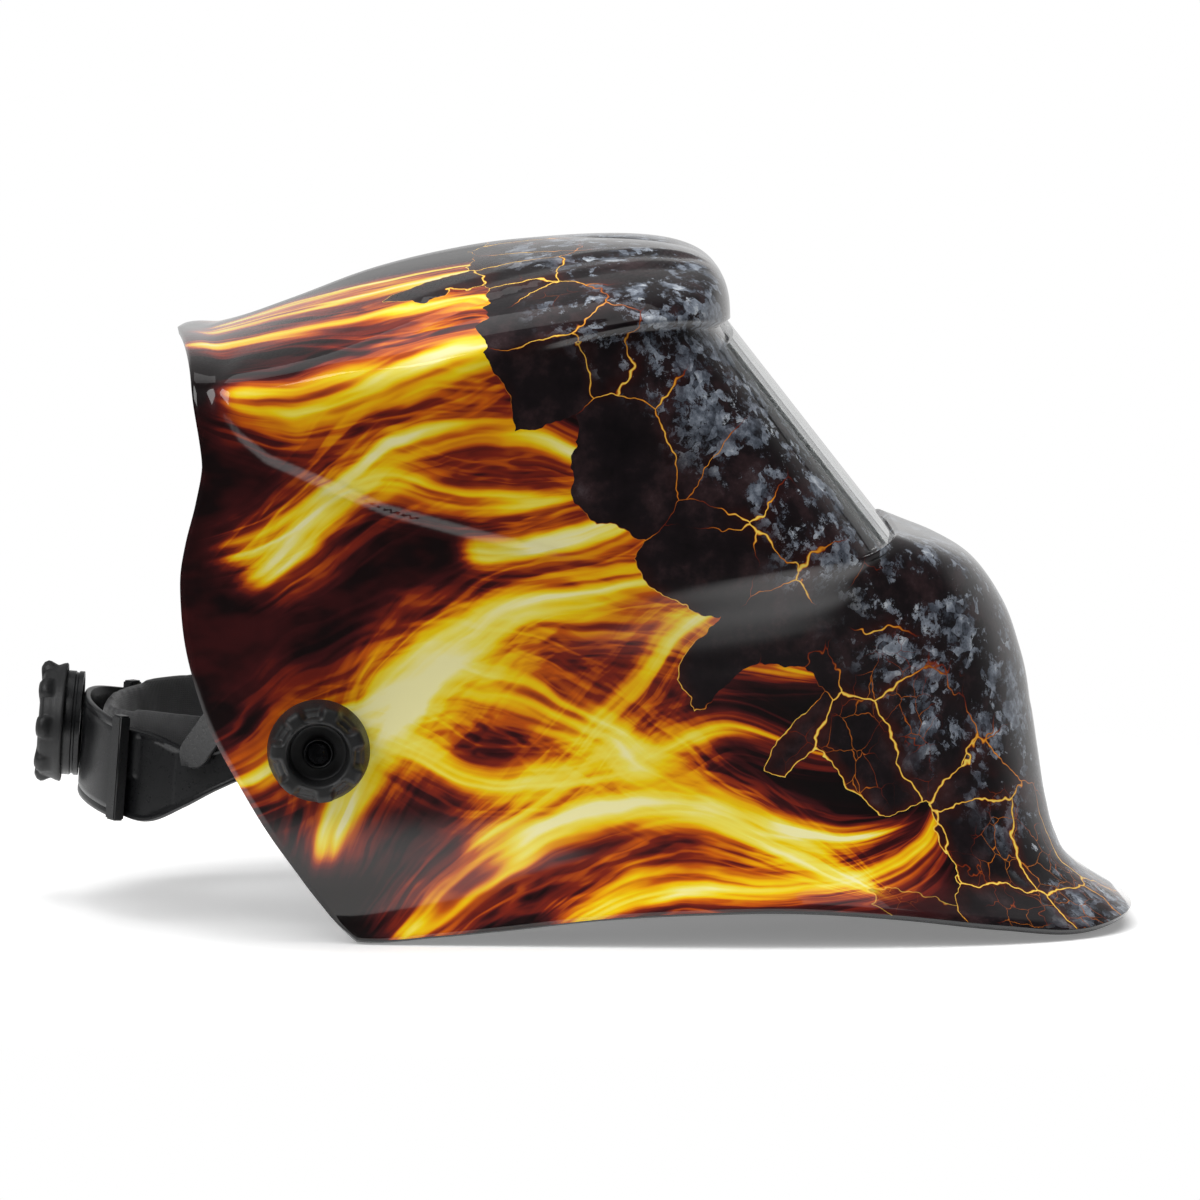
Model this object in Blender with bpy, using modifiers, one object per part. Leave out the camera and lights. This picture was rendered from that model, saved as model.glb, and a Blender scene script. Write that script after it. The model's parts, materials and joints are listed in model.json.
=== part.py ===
"""Auto-darkening welding helmet: shell, filter cartridge and ratchet headgear.

The model frame has its origin on the headgear's pivot axis: +X points out of the face, +Y to the
wearer's left, +Z up. The whole model hangs on one empty that stands it level on its lower rim.
"""

import math

import bmesh
import bpy
import numpy as np
from mathutils import Matrix, Vector

MM = 0.001

# Driving dimensions, in millimetres
WALL = 2.5  # shell thickness
PIVOT_HALF_WIDTH = 104.0  # shell's outer face at the pivots
REST_TILT = math.radians(2.684)  # turns the lower rim level
HEAD_TILT = math.radians(6.0)  # the headgear's resting tilt in the shell, crown forward
REAR_REACH = 101.5  # behind the pivot axis, to the size knob's face
FRONT_REACH = 288.5  # ahead of the pivot axis, to the chin's lip
RIM_DROP = 67.82  # from the pivot axis down to what the rim stands on
GAP = 0.4  # between pieces that touch

LENS_SLOPE = math.radians(36.4)  # the window's lean back from upright
WINDOW_CENTRE = (173.0, 97.5)  # x, z of the window's middle, on the shell's outer face
LENS_HALF_HEIGHT = 44.6
LENS_HALF_WIDTH = 67.0
LENS_THICKNESS = 1.6
LENS_STANDOFF = 1.2
HOLE_HALF_HEIGHT = 41.0
HOLE_HALF_WIDTH = 52.0

CASE_HALF_WIDTH = 56.0
CASE_HALF_HEIGHT = 45.0
CASE_FRONT = -12.4  # depths are measured along the window's normal, outward positive
CASE_BACK = -24.6
VIEW_LOW, VIEW_HIGH = -29.0, 33.0  # the viewing area, up the window's slope
VIEW_HALF_WIDTH = 48.5
BACK_COVER = (-26.9, -24.9)
CONTROL_ROW = -37.5
KNOB_PLACES = {"shade_knob": (-34.0, 7.0), "sensitivity_knob": (-6.0, 5.0), "delay_knob": (16.0, 5.0)}

HOOP_CENTRE, HOOP_LENGTH, HOOP_WIDTH, HOOP_POWER = 15.0, 94.5, 79.0, 2.4
SADDLE_LIFT = 1.0  # clear gap between the band and the saddle round it
BAND_THICKNESS = 2.2
DRUM_HEIGHT = -10.0  # z of the size knob's axis
DRUM_RADIUS = 18.6
DRUM_LENGTH = 11.5
SIZE_KNOB_RADIUS = 21.6
SIZE_KNOB_SKIRT = 10.1  # depth of the cup that covers the drum's end
SIZE_KNOB_LOBES = 8
TEETH = 10
TOOTH_MODULE = 1.0

BOLT_RADIUS = 4.0
TRACK_SLIDE = 10.0  # travel of the headgear each way in its track
KNOB_RADIUS = 17.8
LOBES = 7


# ---------------------------------------------------------------- helpers


def clear_scene():
    for obj in list(bpy.data.objects):
        bpy.data.objects.remove(obj)


def collection(name):
    made = bpy.data.collections.new(name)
    bpy.context.scene.collection.children.link(made)
    return made


clear_scene()
PARTS = collection("welding_helmet")
CUTTERS = collection("cutters")


def material(name, colour, roughness, metallic=0.0, alpha=1.0):
    made = bpy.data.materials.new(name)
    made.use_nodes = True
    shader = made.node_tree.nodes["Principled BSDF"]
    shader.inputs["Base Color"].default_value = (*colour, 1.0)
    shader.inputs["Roughness"].default_value = roughness
    shader.inputs["Metallic"].default_value = metallic
    shader.inputs["Alpha"].default_value = alpha
    return made


PAINT = material("flame_paint", (0.05, 0.02, 0.015), 0.12)
BLACK = material("black_nylon", (0.025, 0.025, 0.028), 0.55)
SOFT_BLACK = material("soft_grip", (0.035, 0.035, 0.035), 0.75)
CLEAR = material("clear_polycarbonate", (0.9, 0.92, 0.92), 0.05, alpha=0.35)
FILTER = material("filter_glass", (0.05, 0.12, 0.05), 0.05)
SOLAR = material("solar_cell", (0.03, 0.02, 0.07), 0.2)
STEEL = material("steel", (0.6, 0.6, 0.62), 0.3, metallic=1.0)
BOARD = material("circuit_board", (0.02, 0.18, 0.07), 0.5)
PAD = material("pad_fabric", (0.04, 0.04, 0.045), 0.9)


def empty(name, location=(0, 0, 0), turn=(0, 0, 0), parent=None):
    made = bpy.data.objects.new(name, None)
    made.location = [v * MM for v in location]
    made.rotation_euler = turn
    made.parent = parent
    PARTS.objects.link(made)
    return made


BASE = empty(
    "helmet_base",
    location=((REAR_REACH - FRONT_REACH) / 2, 0, RIM_DROP),
    turn=(0, -REST_TILT, 0),
)
WINDOW = empty(
    "window_frame",
    location=(WINDOW_CENTRE[0], 0, WINDOW_CENTRE[1]),
    turn=(0, -LENS_SLOPE, 0),
    parent=BASE,
)


HEAD = empty("headgear_frame", turn=(0, HEAD_TILT, 0), parent=BASE)


def place(obj, finish, parent=BASE, location=(0, 0, 0), turn=(0, 0, 0), home=PARTS):
    """Puts a new object in its collection, with its material and its parent."""
    obj.data.materials.clear()
    obj.data.materials.append(finish)
    obj.location = [v * MM for v in location]
    obj.rotation_euler = turn
    obj.parent = parent
    for old in list(obj.users_collection):
        old.objects.unlink(obj)
    home.objects.link(obj)
    return obj


def from_mesh(name, points, faces, finish, **where):
    mesh = bpy.data.meshes.new(name)
    mesh.from_pydata([tuple(c * MM for c in p) for p in points], [], faces)
    mesh.validate()
    return place(bpy.data.objects.new(name, mesh), finish, **where)


def shade(obj, degrees=35):
    obj.data.shade_smooth()
    obj.data.set_sharp_from_angle(angle=math.radians(degrees))


def box(name, size, finish, bevel=0.0, **where):
    bm = bmesh.new()
    bmesh.ops.create_cube(bm, size=1.0)
    bmesh.ops.scale(bm, vec=[s * MM for s in size], verts=bm.verts)
    mesh = bpy.data.meshes.new(name)
    bm.to_mesh(mesh)
    bm.free()
    obj = place(bpy.data.objects.new(name, mesh), finish, **where)
    if bevel:
        rounding = obj.modifiers.new("rounding", "BEVEL")
        rounding.width = bevel * MM
        rounding.segments = 1
    return obj


def block(name, x, y, z, finish, **more):
    """A box between two depths, two sides and two heights."""
    size = [abs(b - a) for a, b in (x, y, z)]
    middle = [(a + b) / 2 for a, b in (x, y, z)]
    return box(name, size, finish, location=middle, **more)


def turned(name, profile, finish, steps=24, closed=True, **where):
    """A profile of (radius, height) pairs turned about its local Z: it runs down its outer side."""
    count = len(profile)
    mesh = bpy.data.meshes.new(name)
    links = [(i, (i + 1) % count) for i in range(count if closed else count - 1)]
    mesh.from_pydata([(r * MM, 0, h * MM) for r, h in profile], links, [])
    obj = place(bpy.data.objects.new(name, mesh), finish, **where)
    screw = obj.modifiers.new("turn", "SCREW")
    screw.steps = screw.render_steps = steps
    screw.use_merge_vertices = True
    screw.merge_threshold = 0.00002
    screw.use_smooth_shade = True
    return obj


def ring(name, outer, inner, low, high, finish, **where):
    return turned(name, [(outer, high), (outer, low), (inner, low), (inner, high)], finish, **where)


def rod(name, radius, low, high, finish, steps=16, **where):
    return turned(
        name, [(0, high), (radius, high), (radius, low), (0, low)], finish, steps, closed=False, **where
    )


def modifier(obj, kind, name, **settings):
    made = obj.modifiers.new(name, kind)
    for key, value in settings.items():
        setattr(made, key, value)
    return made


def cut(obj, tool, operation="DIFFERENCE"):
    tool.hide_render = True
    tool.display_type = "WIRE"
    return modifier(obj, "BOOLEAN", operation.lower(), operation=operation, object=tool)


def outline(name, loops, depth, finish, plane="XZ", offset=0.0, **where):
    """Closed outlines in one plane, later ones as holes, as a mesh plate of this full depth."""
    curve = bpy.data.curves.new(name, "CURVE")
    curve.dimensions = "2D"
    curve.fill_mode = "BOTH"
    curve.extrude = depth / 2 * MM
    for loop in loops:
        spline = curve.splines.new("POLY")
        spline.points.add(len(loop) - 1)
        for point, (a, b) in zip(spline.points, loop):
            point.co = (a * MM, b * MM, 0, 1)
        spline.use_cyclic_u = True
    flat = bpy.data.objects.new(name + "_outline", curve)
    CUTTERS.objects.link(flat)
    graph = bpy.context.evaluated_depsgraph_get()
    mesh = bpy.data.meshes.new_from_object(flat.evaluated_get(graph))
    bpy.data.objects.remove(flat)
    turns = {
        "XY": Matrix.Identity(4),
        "XZ": Matrix.Rotation(math.radians(90), 4, "X"),
        "YZ": Matrix(((0, 0, 1, 0), (1, 0, 0, 0), (0, 1, 0, 0), (0, 0, 0, 1))),
    }
    normal = {"XY": (0, 0, 1), "XZ": (0, 1, 0), "YZ": (1, 0, 0)}[plane]
    mesh.transform(Matrix.Translation(Vector(normal) * offset * MM) @ turns[plane])
    bm = bmesh.new()
    bm.from_mesh(mesh)
    bmesh.ops.remove_doubles(bm, verts=bm.verts, dist=0.01 * MM)
    bmesh.ops.recalc_face_normals(bm, faces=bm.faces)
    bm.to_mesh(mesh)
    bm.free()
    return place(bpy.data.objects.new(name, mesh), finish, **where)


def arc(centre, radius, start, end, steps):
    angles = [math.radians(start + (end - start) * i / steps) for i in range(steps + 1)]
    return [(centre[0] + radius * math.cos(t), centre[1] + radius * math.sin(t)) for t in angles]


def slot_loop(centre, half_length, radius, steps=6):
    """A round-ended slot that runs along the first axis."""
    a, b = centre
    return arc((a + half_length, b), radius, -90, 90, steps) + arc((a - half_length, b), radius, 90, 270, steps)


def circle_loop(centre, radius, steps=16):
    return arc(centre, radius, 0, 360, steps)[:-1]


def rounded_rectangle(a, b, radius, steps=3):
    """Corners (low, high) along both axes, anticlockwise."""
    (a0, a1), (b0, b1) = a, b
    points = []
    for centre, start in (
        ((a1 - radius, b0 + radius), -90),
        ((a1 - radius, b1 - radius), 0),
        ((a0 + radius, b1 - radius), 90),
        ((a0 + radius, b0 + radius), 180),
    ):
        points += arc(centre, radius, start, start + 90, steps)
    return points


def grid_faces(rows, columns):
    return [
        (i * columns + j, i * columns + j + 1, (i + 1) * columns + j + 1, (i + 1) * columns + j)
        for i in range(rows - 1)
        for j in range(columns - 1)
    ]


def smooth_curve(knots, values, t):
    """A cubic through the values at the knots, with finite-difference slopes."""
    knots, values = np.asarray(knots, float), np.asarray(values, float)
    slopes = np.gradient(values, knots)
    t = np.clip(np.asarray(t, float), knots[0], knots[-1])
    i = np.clip(np.searchsorted(knots, t, side="right") - 1, 0, len(knots) - 2)
    span = knots[i + 1] - knots[i]
    s = (t - knots[i]) / span
    return (
        values[i] * (2 * s**3 - 3 * s**2 + 1)
        + slopes[i] * span * (s**3 - 2 * s**2 + s)
        + values[i + 1] * (3 * s**2 - 2 * s**3)
        + slopes[i + 1] * span * (s**3 - s**2)
    )


def ease(value, low, high):
    t = np.clip((np.asarray(value, float) - low) / (high - low), 0, 1)
    return t * t * (3 - 2 * t)


# ---------------------------------------------------------------- shell surface

# From the window's top edge down the middle of the face to the chin's lip: share of the way,
# front x and z, and the half width and squareness of the row that wraps round from there.
FACE_SHARE = (0.0, 0.03, 0.22, 0.42, 0.46, 0.50, 0.55, 0.60, 0.66, 0.74, 0.82, 0.89, 0.935, 0.965, 0.985, 1.0)
FACE_X = (143.9, 146.3, 175.4, 201.5, 208, 217.5, 229.5, 240.5, 248.5, 253, 255.5, 258, 261, 265.5, 274, 287)
FACE_Z = (137.0, 133.8, 94.3, 58.9, 52.5, 46.5, 39, 28, 14, -2, -20, -38, -50, -58.5, -66, -74.5)
FACE_WIDTH = (103, 103, 103, 103, 103.5, 104, 104, 104, 104, 104, 103, 101, 99.5, 99.5, 100.5, 102)
FACE_SQUARE = (5, 5, 5, 5, 4, 3.3, 2.8, 2.5, 2.3, 2.2, 2.2, 2.3, 2.5, 2.7, 2.9, 3.1)
# The bridge that stands out under the window, added to the middle of the face
BRIDGE_SHARE = (0.42, 0.46, 0.50, 0.55, 0.60, 0.66, 0.74)
BRIDGE_X = (2.6, 4.0, 5.0, 5.0, 3.5, 1.5, 0)
BRIDGE_Z = (4.2, 8.0, 10.0, 9.5, 6.0, 2.0, 0)
BRIDGE_FULL, BRIDGE_GONE = 48.0, 84.0  # half widths between which the bridge fades

REAR_TOP, REAR_BOTTOM = 118.0, -66.5  # heights of the rear edge
REAR_EDGE_Z = (-66.5, -62.4, -54, -42.3, -28, -12, 6, 23, 37.5, 51.5, 62, 72, 86, 100, 107, 118)
REAR_EDGE_X = (11, 5.5, -1.5, -9.5, -18.8, -27.6, -36.5, -41.8, -44.8, -45.8, -45.5, -43.5, -39.5, -36.8, -37, -39.5)
EAVE_X = (-39.5, -20, 4, 26, 54, 82, 97, 111, 128, 139, 148.5)
EAVE_Z = (118, 118.5, 121, 125.8, 132, 137.3, 139.9, 141.8, 142, 140.8, 139.7)
LOWER_X = (11, 17, 38, 63, 97, 132, 167, 202, 238, 267, 287)
LOWER_Z = (-66.5, -68.3, -67, -65, -62.5, -61.8, -62.7, -66.5, -72.5, -78.4, -74.5)
CREST_X = (-47, -28, -6, 22, 51, 65, 80, 96, 112)
CREST_Z = (137.5, 142, 149, 158.5, 164.8, 166.8, 167.8, 167.3, 165)
OVERHANG, OVERHANG_DROP = 4.1, 2.2
CREST_ENDS = (112.0, -47.0)
ROOF_SQUARE = (3.1, 2.35)  # at the brow and along the sides
# The raised cheek: its edge runs from the roof, round its nose at the rear and down the side
CHEEK_EDGE = ((-8, 141), (-21.6, 136), (-28.5, 130.8), (-31, 124.6), (-29.5, 117.6), (-23.3, 108.6),
              (-14.4, 100.7), (7.6, 90.5), (26, 81.9), (54, 73.2), (83.5, 65), (116, 54))
CHEEK_RISE = 3.4
CHEEK_ROLL = 5.0  # half width of the rounded step at the cheek's edge
CROWN_X = (10, 62, 105, 150)
CROWN_HALF_WIDTH = (80, 62, 50, 34)
CROWN_STEP = 1.6


def section(angle, square):
    """Unit superellipse: (share of the way back, share of the half width)."""
    c, s = np.cos(angle), np.sin(angle)
    reach = (np.abs(c) ** square + np.abs(s) ** square) ** (-1 / square)
    return 1 - reach * c, reach * s


def angle_at(share):
    """The section angle this share of the way round from the middle of the face to the rear edge."""
    fine = np.linspace(0, math.pi / 2, 400)
    back, out = section(fine, 2.8)
    length = np.concatenate([[0], np.cumsum(np.hypot(np.diff(back) * 270, np.diff(out) * PIVOT_HALF_WIDTH))])
    return np.interp(np.asarray(share, float) * length[-1], length, fine)


def signed_distance(points, line):
    """Distance from points to a polyline, positive on its left."""
    best = np.full(len(points), 1e9)
    sign = np.ones(len(points))
    for a, b in zip(np.array(line[:-1], float), np.array(line[1:], float)):
        along = b - a
        share = np.clip(((points - a) @ along) / (along @ along), 0, 1)
        away = points - a - share[:, None] * along
        distance = np.hypot(away[:, 0], away[:, 1])
        side = along[0] * away[:, 1] - along[1] * away[:, 0]
        nearer = distance < best
        best = np.where(nearer, distance, best)
        sign = np.where(nearer, np.where(side >= 0, 1, -1), sign)
    return best * sign


def face_skin(share, back, out):
    """Outer surface below the eave, for a row's share of the way back and share of its half width."""
    half = out * smooth_curve(FACE_SHARE, FACE_WIDTH, share)
    bridge = (1 - ease(half, BRIDGE_FULL, BRIDGE_GONE)) * (share > BRIDGE_SHARE[0] + 1e-6)
    front_x = smooth_curve(FACE_SHARE, FACE_X, share) + bridge * smooth_curve(BRIDGE_SHARE, BRIDGE_X, share)
    front_z = smooth_curve(FACE_SHARE, FACE_Z, share) + bridge * smooth_curve(BRIDGE_SHARE, BRIDGE_Z, share)
    rear_z = REAR_TOP + (REAR_BOTTOM - REAR_TOP) * share
    rear_x = smooth_curve(REAR_EDGE_Z, REAR_EDGE_X, rear_z)
    x = front_x + (rear_x - front_x) * back
    z = front_z + (rear_z - front_z) * back
    top_x = FACE_X[0] + (EAVE_X[0] - FACE_X[0]) * back
    top_bow = smooth_curve(EAVE_X, EAVE_Z, top_x) - 2.7 - (FACE_Z[0] + (EAVE_Z[0] - 2.7 - FACE_Z[0]) * back)
    low_x = FACE_X[-1] + (LOWER_X[0] - FACE_X[-1]) * back
    low_bow = smooth_curve(LOWER_X, LOWER_Z, low_x) - (FACE_Z[-1] + (LOWER_Z[0] - FACE_Z[-1]) * back)
    z = z + top_bow * (1 - ease(share, 0, 0.42)) + low_bow * ease(share, 0.55, 1.0)
    return x, half, z


def face_points(share, round_share):
    """Outer surface below the eave: how far down from the eave, and how far round to the rear."""
    back, out = section(angle_at(round_share), smooth_curve(FACE_SHARE, FACE_SQUARE, share))
    return face_skin(share, back, out)


def roof_points(fall, round_share):
    """Outer surface above the eave: fall is 0 on the crest and 1 on the eave."""
    x0, half0, z0 = face_points(0.0, round_share)
    angle = angle_at(round_share)
    forward = ease(x0, 50, 120)
    lip = 0.5 + OVERHANG * forward
    outward = np.cos(angle) ** 0.5
    eave_x = x0 + lip * outward
    eave_half = half0 + lip * np.sqrt(np.clip(1 - outward**2, 0, 1)) * (angle > 0)
    eave_z = z0 + 0.5 + OVERHANG_DROP * forward
    crest_x = CREST_ENDS[0] + (CREST_ENDS[1] - CREST_ENDS[0]) * round_share
    crest_z = smooth_curve(CREST_X, CREST_Z, crest_x)
    square = ROOF_SQUARE[0] + (ROOF_SQUARE[1] - ROOF_SQUARE[0]) * ease(round_share, 0.1, 0.6)
    turn = fall * math.pi / 2
    level = np.sin(turn) ** (2 / square)
    drop = 1 - np.clip(np.cos(turn), 0, 1) ** (2 / square)
    x = crest_x + (eave_x - crest_x) * level
    half = eave_half * level
    z = crest_z + (eave_z - crest_z) * drop
    crown = smooth_curve(CROWN_X, CROWN_HALF_WIDTH, x)
    raised = (1 - ease(half, crown - 2, crown + 2)) + (1 - ease(half, crown + 12, crown + 16))
    z = z + CROWN_STEP * (raised - 2) * ease(x, 5, 45) * (1 - ease(x, 128, 144)) * (1 - ease(drop, 0.7, 1))
    return x, half, z


def raise_cheek(x, half, z):
    side = signed_distance(np.column_stack([x, z]), CHEEK_EDGE)
    rise = CHEEK_RISE * ease(side, -CHEEK_ROLL, CHEEK_ROLL) * (1 - ease(x, 40, 118))
    return half + rise * ease(half, 50, 85)


def shell_surface(falls, shares, rounds):
    """Rows from the crest to the lower rim, columns from the middle of the face to the rear edge."""
    rounds = np.asarray(rounds, float)
    rows = [roof_points(fall, rounds) for fall in falls] + [face_points(share, rounds) for share in shares]
    points = []
    for x, half, z in rows:
        half = raise_cheek(x, half, z)
        half[0] = 0.0
        points += list(zip(x, -half, z))
    return points, len(rows), len(rounds)


def make_shell():
    shares = list(np.linspace(0, BRIDGE_SHARE[0], 6))
    shares += [0.422, 0.46, 0.50, 0.55, 0.61, 0.68, 0.75, 0.82, 0.88, 0.925, 0.955, 0.98, 1.0]
    points, rows, columns = shell_surface(np.linspace(0, 1, 8), shares, np.linspace(0, 1, 20))
    shell = from_mesh("shell", points, grid_faces(rows, columns), PAINT)
    modifier(shell, "MIRROR", "other_side", use_axis=(False, True, False), merge_threshold=0.0001)
    modifier(shell, "SOLIDIFY", "wall", thickness=WALL * MM, offset=-1, use_even_offset=False)
    hole = outline(
        "window_cutter",
        [rounded_rectangle((-HOLE_HALF_WIDTH, HOLE_HALF_WIDTH), (-HOLE_HALF_HEIGHT, HOLE_HALF_HEIGHT), 7)],
        60, BLACK, plane="YZ", parent=WINDOW, home=CUTTERS,
    )
    cut(shell, hole)
    bore = rod("pivot_cutter", BOLT_RADIUS + 0.6, -130, 130, BLACK, turn=(math.pi / 2, 0, 0), home=CUTTERS)
    cut(shell, bore)
    shade(shell)


make_shell()


# ---------------------------------------------------------------- window and filter cartridge


def window_point(climb, half):
    """A point of the shell's outer face at the window, as (depth, half, climb) in the window's frame."""
    share = FACE_SHARE[1] + (FACE_SHARE[3] - FACE_SHARE[1]) * (45.0 - climb) / 93.0
    out = abs(half) / smooth_curve(FACE_SHARE, FACE_WIDTH, share)
    back = 1 - (1 - out ** FACE_SQUARE[2]) ** (1 / FACE_SQUARE[2])
    x, _, z = face_skin(share, back, out)
    away = (x - WINDOW_CENTRE[0], z - WINDOW_CENTRE[1])
    depth = away[0] * math.cos(LENS_SLOPE) + away[1] * math.sin(LENS_SLOPE)
    return depth, half, -away[0] * math.sin(LENS_SLOPE) + away[1] * math.cos(LENS_SLOPE)


def make_cover_lens():
    """The clear plate over the window, bent to the shell's face and let in under its brow."""
    climbs = np.linspace(-LENS_HALF_HEIGHT, LENS_HALF_HEIGHT, 5)
    halves = np.linspace(-LENS_HALF_WIDTH, LENS_HALF_WIDTH, 17)
    skin = [window_point(c, h) for c in climbs for h in halves]
    lift = [max(skin[k * len(halves) + j][0] for k in range(len(climbs))) for j in range(len(halves))]
    points = []
    for depth in (LENS_STANDOFF, LENS_STANDOFF + LENS_THICKNESS):
        points += [(lift[j] + depth, halves[j], c) for c in climbs for j in range(len(halves))]
    rows, columns = len(climbs), len(halves)
    count = rows * columns
    faces = [tuple(reversed(f)) for f in grid_faces(rows, columns)]
    faces += [tuple(i + count for i in f) for f in grid_faces(rows, columns)]
    rim = [j for j in range(columns)] + [i * columns + columns - 1 for i in range(1, rows)]
    rim += [(rows - 1) * columns + j for j in range(columns - 2, -1, -1)]
    rim += [i * columns for i in range(rows - 2, 0, -1)]
    faces += [(a, b, b + count, a + count) for a, b in zip(rim, rim[1:] + rim[:1])]
    lens = from_mesh("front_cover_lens", points, faces, CLEAR, parent=WINDOW)
    fix_normals(lens)
    shade(lens)


def fix_normals(obj):
    bm = bmesh.new()
    bm.from_mesh(obj.data)
    bmesh.ops.recalc_face_normals(bm, faces=bm.faces)
    bm.to_mesh(obj.data)
    bm.free()


FRAME_HALF = (62.0, 51.0)  # half width, half height
FRAME_DEPTH = (-25.0, -6.4)
CLEAR_FIT = 0.4
LOOP_WIRE = 1.2
LOOP_AXIS = (-28.6, 53.2)  # depth, climb
LOOP_FOOT = -48.4
TRAY = {"side": (35.0, 61.4), "climb": (-42.8, -31.8), "depth": (-21.4, -16.2)}


def make_holder():
    depth, (wide, high) = FRAME_DEPTH, FRAME_HALF
    frame = block("adf_holder_frame", depth, (-wide, wide), (-high, high), BLACK, parent=WINDOW)
    for side in (-1, 1):
        lug = block(
            f"lug_cutter_{side}", (LOOP_AXIS[0] - 3.4, depth[0] + 3), (side * 38 - 4, side * 38 + 4),
            (high - 4, LOOP_AXIS[1] + 3.4), BLACK, parent=WINDOW, home=CUTTERS,
        )
        cut(frame, lug, "UNION")
    fit_wide, fit_high = CASE_HALF_WIDTH + CLEAR_FIT, CASE_HALF_HEIGHT + CLEAR_FIT
    for name, where, y, z in (
        ("pocket", (depth[0] - 9, CASE_FRONT + CLEAR_FIT), (-fit_wide, fit_wide), (-fit_high, fit_high)),
        ("opening", (CASE_FRONT - 1, depth[1] + 2), (-51, 51), (-40, 40)),
        ("tray_slot", (TRAY["depth"][0] - CLEAR_FIT, TRAY["depth"][1] + CLEAR_FIT), (50, 70),
         (TRAY["climb"][0] - CLEAR_FIT, TRAY["climb"][1] + CLEAR_FIT)),
    ):
        cut(frame, block(f"{name}_cutter", where, y, z, BLACK, parent=WINDOW, home=CUTTERS))
    eye = rod("loop_eye_cutter", LOOP_WIRE + CLEAR_FIT, -70, 70, BLACK, turn=(math.pi / 2, 0, 0),
              location=(LOOP_AXIS[0], 0, LOOP_AXIS[1]), parent=WINDOW, home=CUTTERS)
    cut(frame, eye)


def make_cartridge():
    wide, high = CASE_HALF_WIDTH, CASE_HALF_HEIGHT
    case = block("adf_case", (CASE_BACK, CASE_FRONT), (-wide, wide), (-high, high), BLACK, parent=WINDOW)
    inner = (CASE_BACK - 2, CASE_FRONT - 2.0)
    cuts = (
        ("case_hollow", inner, (-wide + 2, wide - 2), (VIEW_HIGH + 2, high - 2)),
        ("case_floor", inner, (-wide + 2, wide - 2), (-high + 2, VIEW_LOW - 2)),
        ("case_view", (-60, 20), (-VIEW_HALF_WIDTH, VIEW_HALF_WIDTH), (VIEW_LOW, VIEW_HIGH)),
        ("case_tray", (TRAY["depth"][0] - CLEAR_FIT, TRAY["depth"][1] + CLEAR_FIT), (wide - 4, wide + 4),
         (TRAY["climb"][0] - CLEAR_FIT, TRAY["climb"][1] + CLEAR_FIT)),
    )
    for name, x, y, z in cuts:
        cut(case, block(f"{name}_cutter", x, y, z, BLACK, parent=WINDOW, home=CUTTERS))
    block("adf_filter_glass", (-21.4, -13.6), (-VIEW_HALF_WIDTH + GAP, VIEW_HALF_WIDTH - GAP),
          (VIEW_LOW + GAP, VIEW_HIGH - GAP), FILTER, parent=WINDOW)
    back = block("adf_back_cover", BACK_COVER, (-wide, wide), (-high, high), BLACK, parent=WINDOW)
    cut(back, block("back_view_cutter", (-60, 20), (-46.5, 46.5), (VIEW_LOW + 2, VIEW_HIGH - 2), BLACK,
                    parent=WINDOW, home=CUTTERS))
    block("inner_cover_lens", (BACK_COVER[0] - GAP - 1.2, BACK_COVER[0] - GAP), (-52, 52),
          (VIEW_LOW - 0.6, VIEW_HIGH + 3.0), CLEAR, parent=WINDOW)
    block("solar_panel", (CASE_FRONT + 0.3, CASE_FRONT + 1.1), (-36, 36), (34.4, 39.2), SOLAR, parent=WINDOW)
    for name, y in (("arc_sensor_left", 30.0), ("arc_sensor_right", -30.0)):
        rod(name, 3.0, 0, 1.6, FILTER, location=(CASE_FRONT + 0.3, y, -34.6), turn=(0, math.pi / 2, 0),
            parent=WINDOW)
    block("circuit_board", (-17.2, -15.8), (-52, 30), (-42, VIEW_LOW - 3), BOARD, parent=WINDOW)
    make_controls(back)
    make_battery()
    make_retainer()


def make_controls(back):
    """The wearer's knobs and the test button, through the cartridge's rear cover."""
    for name, (y, radius) in KNOB_PLACES.items():
        face = BACK_COVER[0] - GAP
        shaft = 2.0
        turned(
            name,
            [(0, 5.6), (radius - 0.8, 5.6), (radius, 4.8), (radius, 0), (shaft, 0), (shaft, -8.2), (0, -8.2)],
            SOFT_BLACK, closed=False, location=(face, y, CONTROL_ROW), turn=(0, -math.pi / 2, 0), parent=WINDOW,
        )
        cut(back, rod(f"{name}_cutter", shaft + GAP, -30, 30, BLACK, location=(face, y, CONTROL_ROW),
                      turn=(0, math.pi / 2, 0), parent=WINDOW, home=CUTTERS))
    button_y = 28.0
    turned(
        "test_button", [(0, 2.4), (2.6, 2.4), (2.6, -3.0), (3.6, -3.0), (3.6, -4.0), (0, -4.0)], SOFT_BLACK,
        closed=False, location=(BACK_COVER[0], button_y, CONTROL_ROW), turn=(0, -math.pi / 2, 0), parent=WINDOW,
    )
    cut(back, rod("button_cutter", 3.0, -30, 30, BLACK, location=(BACK_COVER[0], button_y, CONTROL_ROW),
                  turn=(0, math.pi / 2, 0), parent=WINDOW, home=CUTTERS))


def make_battery():
    side, climb, depth = TRAY["side"], TRAY["climb"], TRAY["depth"]
    tray = block("battery_tray", depth, side, climb, BLACK, parent=WINDOW)
    cut(tray, block("cell_pocket_cutter", (depth[0] + 1, depth[1] + 3), (side[0] + 1.4, side[1] - 3),
                    (climb[0] + 1, climb[1] - 1), BLACK, parent=WINDOW, home=CUTTERS))
    block("coin_cell", (depth[0] + 1 + GAP, depth[0] + 1 + GAP + 3.2), (side[0] + 2, side[1] - 3.6),
          (climb[0] + 1 + GAP, climb[1] - 1 - GAP), STEEL, parent=WINDOW)


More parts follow.
